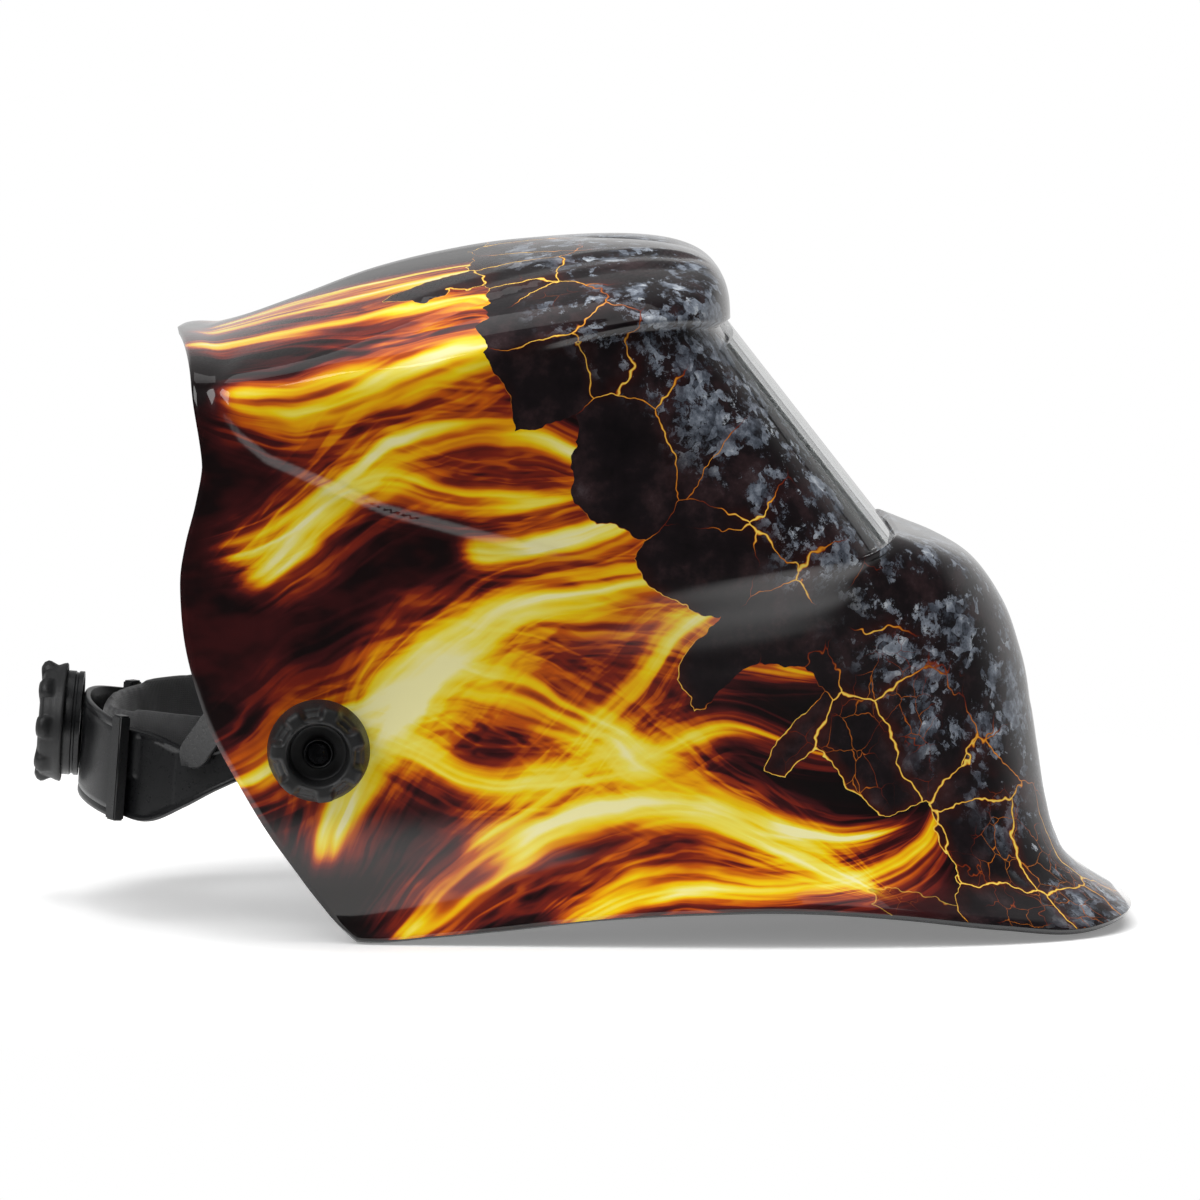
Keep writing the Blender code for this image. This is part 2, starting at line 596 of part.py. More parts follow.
def make_retainer():
    """A sprung wire frame, hinged at the top, that holds the cartridge in."""
    depth, top = LOOP_AXIS
    wide = 59.5
    corner = 4.0
    flat = rounded_rectangle((-wide, wide), (LOOP_FOOT, top), corner, 3)
    curve = bpy.data.curves.new("retainer_loop", "CURVE")
    curve.dimensions = "3D"
    curve.bevel_depth = LOOP_WIRE * MM
    curve.bevel_resolution = 1
    spline = curve.splines.new("POLY")
    spline.points.add(len(flat) - 1)
    for point, (y, z) in zip(spline.points, flat):
        point.co = (depth * MM, y * MM, z * MM, 1)
    spline.use_cyclic_u = True
    wire = bpy.data.objects.new("retainer_loop_path", curve)
    CUTTERS.objects.link(wire)
    mesh = bpy.data.meshes.new_from_object(wire.evaluated_get(bpy.context.evaluated_depsgraph_get()))
    bpy.data.objects.remove(wire)
    loop = place(bpy.data.objects.new("retainer_loop", mesh), STEEL, parent=WINDOW)
    fix_normals(loop)
    shade(loop, 60)
    block("retainer_catch", (depth - 2.6, FRAME_DEPTH[0] - GAP), (-9, 9), (-51.4, LOOP_FOOT - LOOP_WIRE - GAP),
          BLACK, parent=WINDOW)


# ---------------------------------------------------------------- headgear


def hoop_point(angle, grow=0.0):
    """The headband's inner line seen from above, from the forehead round to the nape."""
    power = 2 / HOOP_POWER
    c, s = math.cos(angle), math.sin(angle)
    x = HOOP_CENTRE + (HOOP_LENGTH + grow) * math.copysign(abs(c) ** power, c)
    return x, (HOOP_WIDTH + grow) * math.copysign(abs(s) ** power, s)


# Level and half height round the hoop, by x, of the band and of the taller pad inside it at the nape
BAND_X = (-86, -70, -57, -45, -34, -20, -8, 12, 44, 80, 112)
BAND_LEVEL = (-15, -19, -20, -18, -13.5, -4, 0, 1, 10, 24, 31)
BAND_HALF_HEIGHT = (16, 15.5, 15.5, 10.5, 7.5, 10, 13.5, 13.5, 13, 14, 15)
BAND_HEIGHTS = (BAND_X, BAND_LEVEL, BAND_HALF_HEIGHT)
PAD_HEIGHTS = ((-80, -70, -50, -32), (-14.5, -12.5, -10.5, -8), (13.5, 14.5, 16, 14))
SADDLE_ANGLE = 145.0  # where the saddle's sleeves end, round from the forehead


def ribbon(name, inner, halves, outward, finish, **where):
    """A strip with square ends: points on its inner face, half-width vectors and thickness vectors."""
    points = []
    for p, w, n in zip(inner, halves, outward):
        p, w, n = Vector(p), Vector(w), Vector(n)
        points += [p - w, p + w, p + w + n, p - w + n]
    faces = []
    for i in range(len(inner) - 1):
        a, b = 4 * i, 4 * (i + 1)
        faces += [(a + j, a + (j + 1) % 4, b + (j + 1) % 4, b + j) for j in range(4)]
    last = 4 * (len(inner) - 1)
    faces += [(3, 2, 1, 0), (last, last + 1, last + 2, last + 3)]
    obj = from_mesh(name, points, faces, finish, **where)
    fix_normals(obj)
    shade(obj)
    return obj


def hoop_strip(name, start, end, steps, grow, thickness, finish, heights=BAND_HEIGHTS, shrink=0.0):
    inner, halves, outward = [], [], []
    for i in range(steps + 1):
        angle = math.radians(start + (end - start) * i / steps)
        x, y = hoop_point(angle, grow)
        ax, ay = hoop_point(angle - 0.01, grow)
        bx, by = hoop_point(angle + 0.01, grow)
        out = Vector((by - ay, -(bx - ax), 0)).normalized() * thickness
        mid = float(smooth_curve(heights[0], heights[1], x))
        inner.append((x, y, mid))
        halves.append((0, 0, float(smooth_curve(heights[0], heights[2], x)) - shrink))
        outward.append(out)
    return ribbon(name, inner, halves, outward, finish, parent=HEAD)


def arch(name, side, angle, level, top, rise, lean, width, lift, finish, steps=12):
    """Half of a strap over the head, from outside the band up to the crown."""
    foot = hoop_point(angle, lift)
    near, far = hoop_point(angle - 0.01), hoop_point(angle + 0.01)
    tangent = Vector((near[0] - far[0], near[1] - far[1], 0)).normalized()
    line = []
    for i in range(steps + 1):
        t = math.radians(90 * i / steps)
        swept = math.sin(min(STRAP_SWEEP * t, math.pi / 2))
        x = foot[0] + (top - foot[0]) * (lean * swept + (1 - lean) * (1 - math.cos(t)))
        z = level + (rise + lift - level) * math.sin(t)
        line.append(Vector((x, foot[1] * math.cos(t) ** 0.8 if i < steps else 0.0, z)))
    line.append(line[-1] + Vector((0, -STRAP_OVERLAP, -1.0)))
    steps += 1
    halves, outward = [], []
    for i, point in enumerate(line):
        run = (line[min(i + 1, steps)] - line[max(i - 1, 0)]).normalized()
        if i == 0:
            run = Vector((0, 0, 1))
        turned_by = ease(i / steps, 0.0, 0.7)
        across = tangent.lerp(Vector((1, 0, 0)), float(turned_by))
        across = (across - run * across.dot(run)).normalized()
        out = run.cross(across)
        if out.dot(point - Vector((point.x * 0.9, 0, 10))) < 0:
            out = -out
        halves.append(across * width / 2)
        outward.append(out * 1.8)
    sides = [[Vector((v.x, side * v.y, v.z)) for v in row] for row in (line, halves, outward)]
    return ribbon(name, *sides, finish, parent=HEAD)


def drill(obj, name, radius, x, z, reach, half_length=0.0):
    """Cuts a round hole or a slot across the whole object, along the headgear's Y."""
    loop = slot_loop((x, z), half_length, radius) if half_length else circle_loop((x, z), radius)
    cut(obj, outline(f"{name}_cutter", [loop], reach, BLACK, parent=HEAD, home=CUTTERS))


RIVET_X = (-25.0, 31.0)
STRAP_OVERLAP = 14.0
STRAP_SWEEP = 1.6  # how much sooner a leaning strap reaches its crown's x than its height
# Where round the band each strap starts, its level there, its crown's x and height, its lean and its width
STRAPS = {"front": (64.0, 8.0, 42.0, 122.0, 0.0, 16.0), "rear": (123.0, -13.0, 16.0, 118.0, 0.85, 12.0)}


def make_band():
    band = hoop_strip("headband", -149, 149, 60, 0, BAND_THICKNESS, BLACK)
    drill(band, "bolt_track", 7.7, 0, 0, 200, TRACK_SLIDE + 0.8)
    for k, x in enumerate(RIVET_X):
        drill(band, f"band_rivet_{k}", 2.4 + GAP, x, 0, 200)
    hoop_strip("sweatband", -62, 62, 28, -6.0, 5.4, PAD, shrink=2.0)
    saddle = hoop_strip("rear_saddle", SADDLE_ANGLE, 360 - SADDLE_ANGLE, 24, BAND_THICKNESS + SADDLE_LIFT, 2.4, BLACK,
                        shrink=-1.6)
    for side, word in ((-1, "right"), (1, "left")):
        x, y = hoop_point(math.radians(SADDLE_ANGLE + 1.5))
        lean = math.atan2(0.62, 1.0)
        ridge = box(f"saddle_ridge_cutter_{word}", (4.2, 6.4, 37.0), BLACK, location=(x - 3.6, side * (y + 5.0), -18.0),
                    turn=(0, 0, side * -lean), parent=HEAD, home=CUTTERS)
        cut(saddle, ridge, "UNION")
    hoop_strip("rear_pad", 117, 243, 30, -6.2, 5.6, PAD, heights=PAD_HEIGHTS)


def side_stack(side):
    """One side's pivot, from the headband out to the tension knob."""
    word = "left" if side > 0 else "right"
    axis = {"turn": (-side * math.pi / 2, 0, 0)}
    plate = outline(
        f"side_plate_{word}",
        [rounded_rectangle((-31, 37), (-12.5, 12.5), 6), slot_loop((0, 0), TRACK_SLIDE + 0.6, BOLT_RADIUS + 0.6)],
        3.0, BLACK, offset=side * 83.1, parent=HEAD,
    )
    for k, x in enumerate(RIVET_X):
        drill(plate, f"plate_rivet_{word}_{k}", 2.4 + GAP, x, 0, 200)
    for k, x in enumerate(RIVET_X):
        inside = (73.9, 77.6)[k]
        end = ("rear", "front")[k]
        turned(
            f"rivet_{end}_{word}",
            [(0, 86.2), (4.0, 86.2), (4.0, 84.9), (2.4, 84.9), (2.4, inside - GAP), (4.0, inside - GAP),
             (4.0, inside - 1.6), (0, inside - 1.6)],
            STEEL, steps=16, closed=False, location=(x, 0, 0), parent=HEAD, **axis,
        )
    block_piece = box(f"slide_block_{word}", (19, 4.4, 19), BLACK, bevel=1.0, location=(0, side * 87.2, 0), parent=HEAD)
    drill(block_piece, f"slide_block_{word}", BOLT_RADIUS + GAP, 0, 0, 260)
    notches = []
    for i in range(64):
        angle = 2 * math.pi * i / 64
        radius = 14.0 if (i // 2) % 2 else 12.6
        notches.append((radius * math.cos(angle), radius * math.sin(angle)))
    outline(f"tilt_plate_{word}", [notches, circle_loop((0, 0), BOLT_RADIUS + GAP)], 2.2, STEEL, offset=side * 91.0,
            parent=HEAD)
    ring(f"friction_washer_{word}", 12.5, BOLT_RADIUS + GAP, 92.5, 94.2, SOFT_BLACK, **axis)
    turned(
        f"spring_washer_{word}",
        [(10.5, 95.4), (10.5, 94.6), (BOLT_RADIUS + GAP, 96.9), (BOLT_RADIUS + GAP, 97.7)], STEEL, **axis,
    )
    ring(f"inner_washer_{word}", 12.0, BOLT_RADIUS + GAP, 98.1, 100.4, BLACK, **axis)
    ring(f"outer_washer_{word}", 14.0, BOLT_RADIUS + GAP, 104.6, 106.0, BLACK, **axis)
    turned(
        f"pivot_bolt_{word}",
        [(0, 117.0), (BOLT_RADIUS - 0.6, 117.0), (BOLT_RADIUS, 116.4), (BOLT_RADIUS, 81.2), (7.2, 81.2),
         (7.2, 79.4), (0, 79.4)],
        STEEL, closed=False, **axis,
    )
    make_tension_knob(word, side, axis)


def make_tension_knob(word, side, axis):
    lobes = []
    for i in range(12 * LOBES):
        angle = 2 * math.pi * i / (12 * LOBES)
        radius = KNOB_RADIUS - 1.5 * (0.5 - 0.5 * math.cos(LOBES * angle)) ** 4
        lobes.append((radius * math.cos(angle), radius * math.sin(angle)))
    knob = outline(f"tension_knob_{word}", [lobes], 15.6, SOFT_BLACK, offset=side * 114.2)
    modifier(knob, "BEVEL", "rounding", width=1.0 * MM, segments=2, limit_method="ANGLE",
             angle_limit=math.radians(50))
    well = turned(
        f"knob_well_cutter_{word}",
        [(0, 130), (11.5, 130), (9.4, 113.2), (BOLT_RADIUS + GAP, 113.2), (BOLT_RADIUS + GAP, 100), (0, 100)],
        SOFT_BLACK, closed=False, home=CUTTERS, **axis,
    )
    cut(knob, well)
    shade(knob)


def make_crown():
    """Two straps over the head, each of two halves that overlap and button together."""
    for key, (degrees, level, top, rise, lean, width) in STRAPS.items():
        lift = BAND_THICKNESS + GAP + (3.4 if key == "rear" else 1.6)
        high = rise + lift
        halves = [
            arch(f"{key}_strap_left", 1, math.radians(degrees), level, top, rise, lean, width, lift, BLACK),
            arch(f"{key}_strap_right", -1, math.radians(degrees), level, top, rise - 3.0, lean, width, lift, BLACK),
        ]
        where = (top, 0, high)
        for half in halves:
            cut(half, rod(f"{half.name}_pin_cutter", 2.4, -20, 20, BLACK, location=where, parent=HEAD, home=CUTTERS))
        turned(
            f"{key}_strap_pin",
            [(0, 3.4), (3.8, 3.4), (3.8, 2.3), (2.0, 2.3), (2.0, -3.6), (3.4, -3.6), (3.4, -4.5), (0, -4.5)],
            BLACK, steps=16, closed=False, location=where, parent=HEAD,
        )


def make_rear():
    """The size knob and its ratchet, on the saddle behind the head."""
    rear = HOOP_CENTRE - HOOP_LENGTH - BAND_THICKNESS - SADDLE_LIFT - 2.4  # the saddle's rear face
    axis = {"turn": (0, -math.pi / 2, 0), "location": (0, 0, DRUM_HEIGHT), "parent": HEAD}
    low = -rear + GAP
    back = low + DRUM_LENGTH
    turned(
        "ratchet_housing",
        [(DRUM_RADIUS, back), (DRUM_RADIUS, low), (DRUM_RADIUS - 2.2, low), (DRUM_RADIUS - 2.2, back - 2),
         (4.4, back - 2), (4.4, back)],
        BLACK, **axis,
    )
    turned(
        "ratchet_wheel",
        [(TEETH * TOOTH_MODULE, low + 5.0), (TEETH * TOOTH_MODULE, low + 0.8), (3.4, low + 0.8), (3.4, low + 5.0)],
        STEEL, **axis,
    )
    lobes = []
    for i in range(12 * SIZE_KNOB_LOBES):
        angle = 2 * math.pi * i / (12 * SIZE_KNOB_LOBES)
        radius = SIZE_KNOB_RADIUS - 1.0 * (0.5 - 0.5 * math.cos(SIZE_KNOB_LOBES * angle)) ** 3
        lobes.append((radius * math.cos(angle), DRUM_HEIGHT + radius * math.sin(angle)))
    start, floor = REAR_REACH - SIZE_KNOB_SKIRT, REAR_REACH - 3.2
    knob = outline("size_knob", [lobes], SIZE_KNOB_SKIRT, SOFT_BLACK, plane="YZ", offset=-(start + REAR_REACH) / 2,
                   parent=HEAD)
    modifier(knob, "BEVEL", "rounding", width=0.6 * MM, segments=2, limit_method="ANGLE",
             angle_limit=math.radians(50))
    cut(knob, rod("knob_skirt_cutter", DRUM_RADIUS + 0.8, start - 2, floor, SOFT_BLACK, home=CUTTERS, **axis))
    stem = rod("knob_stem_cutter", 3.0, low + 0.8, floor + 1, SOFT_BLACK, home=CUTTERS, **axis)
    cut(knob, stem, "UNION")
    shade(knob)


make_cover_lens()
make_holder()
make_cartridge()
make_band()
for hand in (1, -1):
    side_stack(hand)
make_crown()
make_rear()
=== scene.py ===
import json
import math

import bmesh
import bpy
import numpy as np
from mathutils import Matrix, Vector
from mathutils.kdtree import KDTree


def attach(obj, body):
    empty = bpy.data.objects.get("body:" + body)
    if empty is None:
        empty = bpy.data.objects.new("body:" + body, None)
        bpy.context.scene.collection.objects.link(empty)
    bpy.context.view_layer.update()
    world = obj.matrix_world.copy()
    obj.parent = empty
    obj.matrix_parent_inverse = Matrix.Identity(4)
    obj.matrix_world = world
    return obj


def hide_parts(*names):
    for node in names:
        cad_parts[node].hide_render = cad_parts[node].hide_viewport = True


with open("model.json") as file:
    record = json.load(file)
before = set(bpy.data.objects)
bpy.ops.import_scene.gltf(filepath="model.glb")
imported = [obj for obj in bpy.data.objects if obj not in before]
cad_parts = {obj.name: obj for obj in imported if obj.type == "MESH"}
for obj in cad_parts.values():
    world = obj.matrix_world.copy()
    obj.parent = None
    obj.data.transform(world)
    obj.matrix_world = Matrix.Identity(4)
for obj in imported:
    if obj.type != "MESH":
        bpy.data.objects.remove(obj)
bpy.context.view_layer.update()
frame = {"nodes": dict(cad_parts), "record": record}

MM = 0.001
WALL = 2.5
PIVOT_HALF_WIDTH = 104.0

# The shell is drawn in millimetres about its pivots' axis (BASE), tilted as it rests on its lower rim.
# The headgear (HEAD) and the window (WINDOW) have frames of their own.
REST_TILT = math.radians(2.684)
HEAD_TILT = math.radians(6.0)
LENS_SLOPE = math.radians(36.4)
PIVOT = Vector((-0.0935, 0, 0.06782))
BASE = Matrix.Translation(PIVOT) @ Matrix.Rotation(-REST_TILT, 4, "Y")
HEAD = BASE @ Matrix.Rotation(HEAD_TILT, 4, "Y")
WINDOW = BASE @ Matrix.Translation((0.173, 0, 0.0975)) @ Matrix.Rotation(-LENS_SLOPE, 4, "Y")

# ---------------- numbers and curves


def smooth_curve(knots, values, t):
    """A smooth line through (knots, values), read at t."""
    knots, values = np.asarray(knots, float), np.asarray(values, float)
    slopes = np.gradient(values, knots)
    t = np.clip(np.asarray(t, float), knots[0], knots[-1])
    i = np.clip(np.searchsorted(knots, t, side="right") - 1, 0, len(knots) - 2)
    span = knots[i + 1] - knots[i]
    s = (t - knots[i]) / span
    return (
        values[i] * (2 * s**3 - 3 * s**2 + 1)
        + slopes[i] * span * (s**3 - 2 * s**2 + s)
        + values[i + 1] * (3 * s**2 - 2 * s**3)
        + slopes[i + 1] * span * (s**3 - s**2)
    )


def ease(value, low, high):
    """0 at low and 1 at high, with level ends; low may be the larger."""
    t = np.clip((np.asarray(value, float) - low) / (high - low), 0, 1)
    return t * t * (3 - 2 * t)


# ---------------- shell surface

# The front face from the eave (share 0) to the chin lip (share 1): the middle line, the half width, and how
# square the section is. The bridge stands out from it below the window.
FACE_SHARE = (0.0, 0.03, 0.22, 0.42, 0.46, 0.50, 0.55, 0.60, 0.66, 0.74, 0.82, 0.89, 0.935, 0.965, 0.985, 1.0)
FACE_X = (143.9, 146.3, 175.4, 201.5, 208, 217.5, 229.5, 240.5, 248.5, 253, 255.5, 258, 261, 265.5, 274, 287)
FACE_Z = (137.0, 133.8, 94.3, 58.9, 52.5, 46.5, 39, 28, 14, -2, -20, -38, -50, -58.5, -66, -74.5)
FACE_WIDTH = (103, 103, 103, 103, 103.5, 104, 104, 104, 104, 104, 103, 101, 99.5, 99.5, 100.5, 102)
FACE_SQUARE = (5, 5, 5, 5, 4, 3.3, 2.8, 2.5, 2.3, 2.2, 2.2, 2.3, 2.5, 2.7, 2.9, 3.1)
BRIDGE_SHARE = (0.42, 0.46, 0.50, 0.55, 0.60, 0.66, 0.74)
BRIDGE_X = (2.6, 4.0, 5.0, 5.0, 3.5, 1.5, 0)
BRIDGE_Z = (4.2, 8.0, 10.0, 9.5, 6.0, 2.0, 0)
BRIDGE_FULL, BRIDGE_GONE = 48.0, 84.0
# The rear edge, and the edges that run back to it from the eave and the chin
REAR_TOP, REAR_BOTTOM = 118.0, -66.5
REAR_EDGE_Z = (-66.5, -62.4, -54, -42.3, -28, -12, 6, 23, 37.5, 51.5, 62, 72, 86, 100, 107, 118)
REAR_EDGE_X = (11, 5.5, -1.5, -9.5, -18.8, -27.6, -36.5, -41.8, -44.8, -45.8, -45.5, -43.5, -39.5, -36.8, -37,
               -39.5)
EAVE_X = (-39.5, -20, 4, 26, 54, 82, 97, 111, 128, 139, 148.5)
EAVE_Z = (118, 118.5, 121, 125.8, 132, 137.3, 139.9, 141.8, 142, 140.8, 139.7)
LOWER_X = (11, 17, 38, 63, 97, 132, 167, 202, 238, 267, 287)
LOWER_Z = (-66.5, -67.2, -66.5, -65, -62.5, -61.8, -62.7, -66.5, -72.5, -76.6, -74.5)
# The roof: its middle line, and how far the eave stands out and down over the face at the front
CREST_X = (-47, -28, -6, 22, 51, 65, 80, 96, 112)
CREST_Z = (137.5, 142, 149, 158.5, 164.8, 166.8, 167.8, 167.3, 165)
EAVE_REACH, EAVE_DROP = 4.5, 2.7
EAVE_STEP = 0.02
EAVE_FORWARD_X = (20, 120)
CREST_ENDS = (112.0, -47.0)
ROOF_SQUARE = (3.1, 2.35)
# The raised cheek behind a curved line, in the side view
CHEEK_EDGE = ((-8, 141), (-21.6, 136), (-28.5, 130.8), (-31, 124.6), (-29.5, 117.6), (-23.3, 108.6),
              (-14.4, 100.7), (7.6, 90.5), (26, 81.9), (54, 73.2), (83.5, 65), (116, 54))
CHEEK_RISE = 3.4
CHEEK_ROLL = 2.6
CHEEK_FADE_X = (40, 118)
CHEEK_FADE_HALF = (50, 85)
# The raised panel along the crown
CROWN_X = (10, 62, 105, 150)
CROWN_HALF_WIDTH = (80, 62, 50, 34)
CROWN_STEP = 1.6
CROWN_ROLL = 1.2
CROWN_GUTTER = (12.8, 15.2)
REAR_FLARE = 2.2
SIDE_DEPTH, USUAL_SQUARE = 270.0, 2.8


def section(angle, square):
    """A quarter of a squared oval: how far back and how far out, each 0 to 1."""
    c, s = np.cos(angle), np.sin(angle)
    reach = (np.abs(c) ** square + np.abs(s) ** square) ** (-1 / square)
    return 1 - reach * c, reach * s


def angle_at(share):
    """The section's angle at a share of the way round, from the middle of the front to the rear edge."""
    fine = np.linspace(0, math.pi / 2, 400)
    back, out = section(fine, USUAL_SQUARE)
    pieces = np.hypot(np.diff(back) * SIDE_DEPTH, np.diff(out) * PIVOT_HALF_WIDTH)
    length = np.concatenate([[0], np.cumsum(pieces)])
    return np.interp(np.asarray(share, float) * length[-1], length, fine)


def signed_distance(points, line):
    """How far each point is from a broken line, less than 0 on its right."""
    best = np.full(len(points), 1e9)
    sign = np.ones(len(points))
    for a, b in zip(np.array(line[:-1], float), np.array(line[1:], float)):
        along = b - a
        share = np.clip(((points - a) @ along) / (along @ along), 0, 1)
        away = points - a - share[:, None] * along
        distance = np.hypot(away[:, 0], away[:, 1])
        side = along[0] * away[:, 1] - along[1] * away[:, 0]
        nearer = distance < best
        best = np.where(nearer, distance, best)
        sign = np.where(nearer, np.where(side >= 0, 1, -1), sign)
    return best * sign


def face_skin(share, back, out):
    """The front and side wall, with the eave's and the rim's bends blended in from above and below."""
    half = out * smooth_curve(FACE_SHARE, FACE_WIDTH, share)
    lip = ease(share, BRIDGE_SHARE[0], BRIDGE_SHARE[0] + 0.006)
    bridge = (1 - ease(half, BRIDGE_FULL, BRIDGE_GONE)) * lip
    front_x = smooth_curve(FACE_SHARE, FACE_X, share) + bridge * smooth_curve(BRIDGE_SHARE, BRIDGE_X, share)
    front_z = smooth_curve(FACE_SHARE, FACE_Z, share) + bridge * smooth_curve(BRIDGE_SHARE, BRIDGE_Z, share)
    rear_z = REAR_TOP + (REAR_BOTTOM - REAR_TOP) * share
    rear_x = smooth_curve(REAR_EDGE_Z, REAR_EDGE_X, rear_z)
    x = front_x + (rear_x - front_x) * back
    z = front_z + (rear_z - front_z) * back
    top_x = FACE_X[0] + (EAVE_X[0] - FACE_X[0]) * back
    top_bow = smooth_curve(EAVE_X, EAVE_Z, top_x) - EAVE_DROP
    top_bow = top_bow - (FACE_Z[0] + (EAVE_Z[0] - EAVE_DROP - FACE_Z[0]) * back)
    low_x = FACE_X[-1] + (LOWER_X[0] - FACE_X[-1]) * back
    low_bow = smooth_curve(LOWER_X, LOWER_Z, low_x) - (FACE_Z[-1] + (LOWER_Z[0] - FACE_Z[-1]) * back)
    z = z + top_bow * (1 - ease(share, 0, BRIDGE_SHARE[0])) + low_bow * ease(share, 0.55, 1.0)
    return x, half, z


def face_points(share, round_share):
    back, out = section(angle_at(round_share), smooth_curve(FACE_SHARE, FACE_SQUARE, share))
    return face_skin(share, back, out)


def roof_points(fall, round_share):
    """The roof from its crest (fall 0) to the eave (fall 1)."""
    x0, half0, z0 = face_points(0.0, round_share)
    angle = angle_at(round_share)
    forward = ease(x0, *EAVE_FORWARD_X)
    lip = EAVE_STEP + EAVE_REACH * forward
    outward = np.cos(angle) ** 0.5
    eave_x = x0 + lip * outward
    eave_half = half0 + lip * np.sqrt(np.clip(1 - outward**2, 0, 1)) * (angle > 0)
    eave_z = z0 + EAVE_STEP + EAVE_DROP * forward
    crest_x = CREST_ENDS[0] + (CREST_ENDS[1] - CREST_ENDS[0]) * round_share
    crest_z = smooth_curve(CREST_X, CREST_Z, crest_x)
    square = ROOF_SQUARE[0] + (ROOF_SQUARE[1] - ROOF_SQUARE[0]) * ease(round_share, 0.1, 0.6)
    turn = fall * math.pi / 2
    level = np.sin(turn) ** (2 / square)
    drop = 1 - np.clip(np.cos(turn), 0, 1) ** (2 / square)
    x = crest_x + (eave_x - crest_x) * level
    half = eave_half * level
    z = crest_z + (eave_z - crest_z) * drop
    crown = smooth_curve(CROWN_X, CROWN_HALF_WIDTH, x)
    raised = 1 - ease(half, crown - CROWN_ROLL, crown + CROWN_ROLL)
    raised = raised + (1 - ease(half, crown + CROWN_GUTTER[0], crown + CROWN_GUTTER[1]))
    z = z + CROWN_STEP * (raised - 2) * ease(x, 5, 45) * (1 - ease(x, 128, 144)) * (1 - ease(drop, 0.7, 1))
    z = z + REAR_FLARE * ease(round_share, 0.93, 1.0) * (1 - ease(fall, 0.55, 0.95))
    return x, half, z


def raise_cheek(x, half, z):
    side = signed_distance(np.column_stack([x, z]), CHEEK_EDGE)
    rise = CHEEK_RISE * ease(side, -CHEEK_ROLL, CHEEK_ROLL) * (1 - ease(x, *CHEEK_FADE_X))
    return half + rise * ease(half, *CHEEK_FADE_HALF)


# ---------------- mesh helpers


def link(name, data):
    obj = bpy.data.objects.new(name, data)
    bpy.context.scene.collection.objects.link(obj)
    return obj


def new_object(name, points, faces, matrix=BASE, smooth=True):
    """A mesh object in metres in the shared frame, from millimetre points in a local frame."""
    mesh = bpy.data.meshes.new(name)
    mesh.from_pydata([matrix @ (Vector(p) * MM) for p in points], [], faces)
    mesh.validate()
    if smooth:
        mesh.shade_smooth()
    return link(name, mesh)


def grid_faces(rows, columns):
    return [
        (i * columns + j, i * columns + j + 1, (i + 1) * columns + j + 1, (i + 1) * columns + j)
        for i in range(rows - 1)
        for j in range(columns - 1)
    ]


def ring_faces(rings, count, closed=False):
    """Faces between neighbouring rings of count points, and from the last to the first if closed."""
    faces = []
    for i in range(rings if closed else rings - 1):
        a, b = i * count, (i + 1) % rings * count
        faces += [(a + j, a + (j + 1) % count, b + (j + 1) % count, b + j) for j in range(count)]
    return faces


def outward_normals(obj, sharp_degrees, merge=0.0):
    mesh = bmesh.new()
    mesh.from_mesh(obj.data)
    if merge:
        bmesh.ops.remove_doubles(mesh, verts=mesh.verts, dist=merge)
    bmesh.ops.recalc_face_normals(mesh, faces=mesh.faces)
    mesh.to_mesh(obj.data)
    mesh.free()
    obj.data.set_sharp_from_angle(angle=math.radians(sharp_degrees))


def modifier(obj, kind, name, **settings):
    made = obj.modifiers.new(name, kind)
    for key, value in settings.items():
        setattr(made, key, value)
    return made


def apply_modifiers(obj):
    graph = bpy.context.evaluated_depsgraph_get()
    mesh = bpy.data.meshes.new_from_object(obj.evaluated_get(graph))
    old = obj.data
    obj.modifiers.clear()
    obj.data = mesh
    bpy.data.meshes.remove(old)


def circle(radius, count):
    turns = [2 * math.pi * i / count for i in range(count)]
    return [(radius * math.cos(turn), radius * math.sin(turn)) for turn in turns]


def prism(name, near, far, matrix, mirrored=False):
    """A closed cutter between two like loops of points; mirrored turns its faces over."""
    count = len(near)
    ends, steps = [range(count)[::-1], range(count, 2 * count)], [(i, (i + 1) % count) for i in range(count)]
    faces = [tuple(end[::-1] if mirrored else end) for end in ends]
    faces += [(a, a + count, b + count, b) if mirrored else (a, b, b + count, a + count) for a, b in steps]
    return new_object(name, near + far, faces, matrix, smooth=False)


def plate_tool(name, half_width, half_height, radius, depth, matrix):
    """A cutter along X with rounded corners."""
    steps = 6
    loop = []
    for quarter, (side, rise) in enumerate(((1, -1), (1, 1), (-1, 1), (-1, -1))):
        y, z = side * (half_width - radius), rise * (half_height - radius)
        for i in range(steps + 1):
            turn = math.radians(90 * (quarter - 1) + 90 * i / steps)
            loop.append((y + radius * math.cos(turn), z + radius * math.sin(turn)))
    near, far = ([(x, y, z) for y, z in loop] for x in (-depth, depth))
    return prism(name, near, far, matrix)


def plug_tool(name, radius, half_length, matrix):
    """A round cutter along Z."""
    loop = circle(radius, 24)
    low, high = ([(x, y, z) for x, y in loop] for z in (-half_length, half_length))
    return prism(name, low, high, matrix)


def peg_tool(name, x, half_length, radius, matrix=HEAD):
    """A cutter along Y through both sides, round or slotted along X."""
    loop = [(x + (half_length if a >= 0 else -half_length) + a, b) for a, b in circle(radius, 32)]
    near, far = ([(a, y, b) for a, b in loop] for y in (-120, 120))
    return prism(name, near, far, matrix, mirrored=True)


def boolean(obj, tool, operation="DIFFERENCE"):
    modifier(obj, "BOOLEAN", "cut", operation=operation, object=tool, solver="EXACT")
    apply_modifiers(obj)
    bpy.data.objects.remove(tool)


def stand_in(piece, body, node, finish=None):
    """Puts a piece in a CAD node's place: on its body, and with the finish of its material slot."""
    if finish:
        piece.data.materials.append(finish)
    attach(piece, body)
    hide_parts(node)


# ---------------- shader helpers


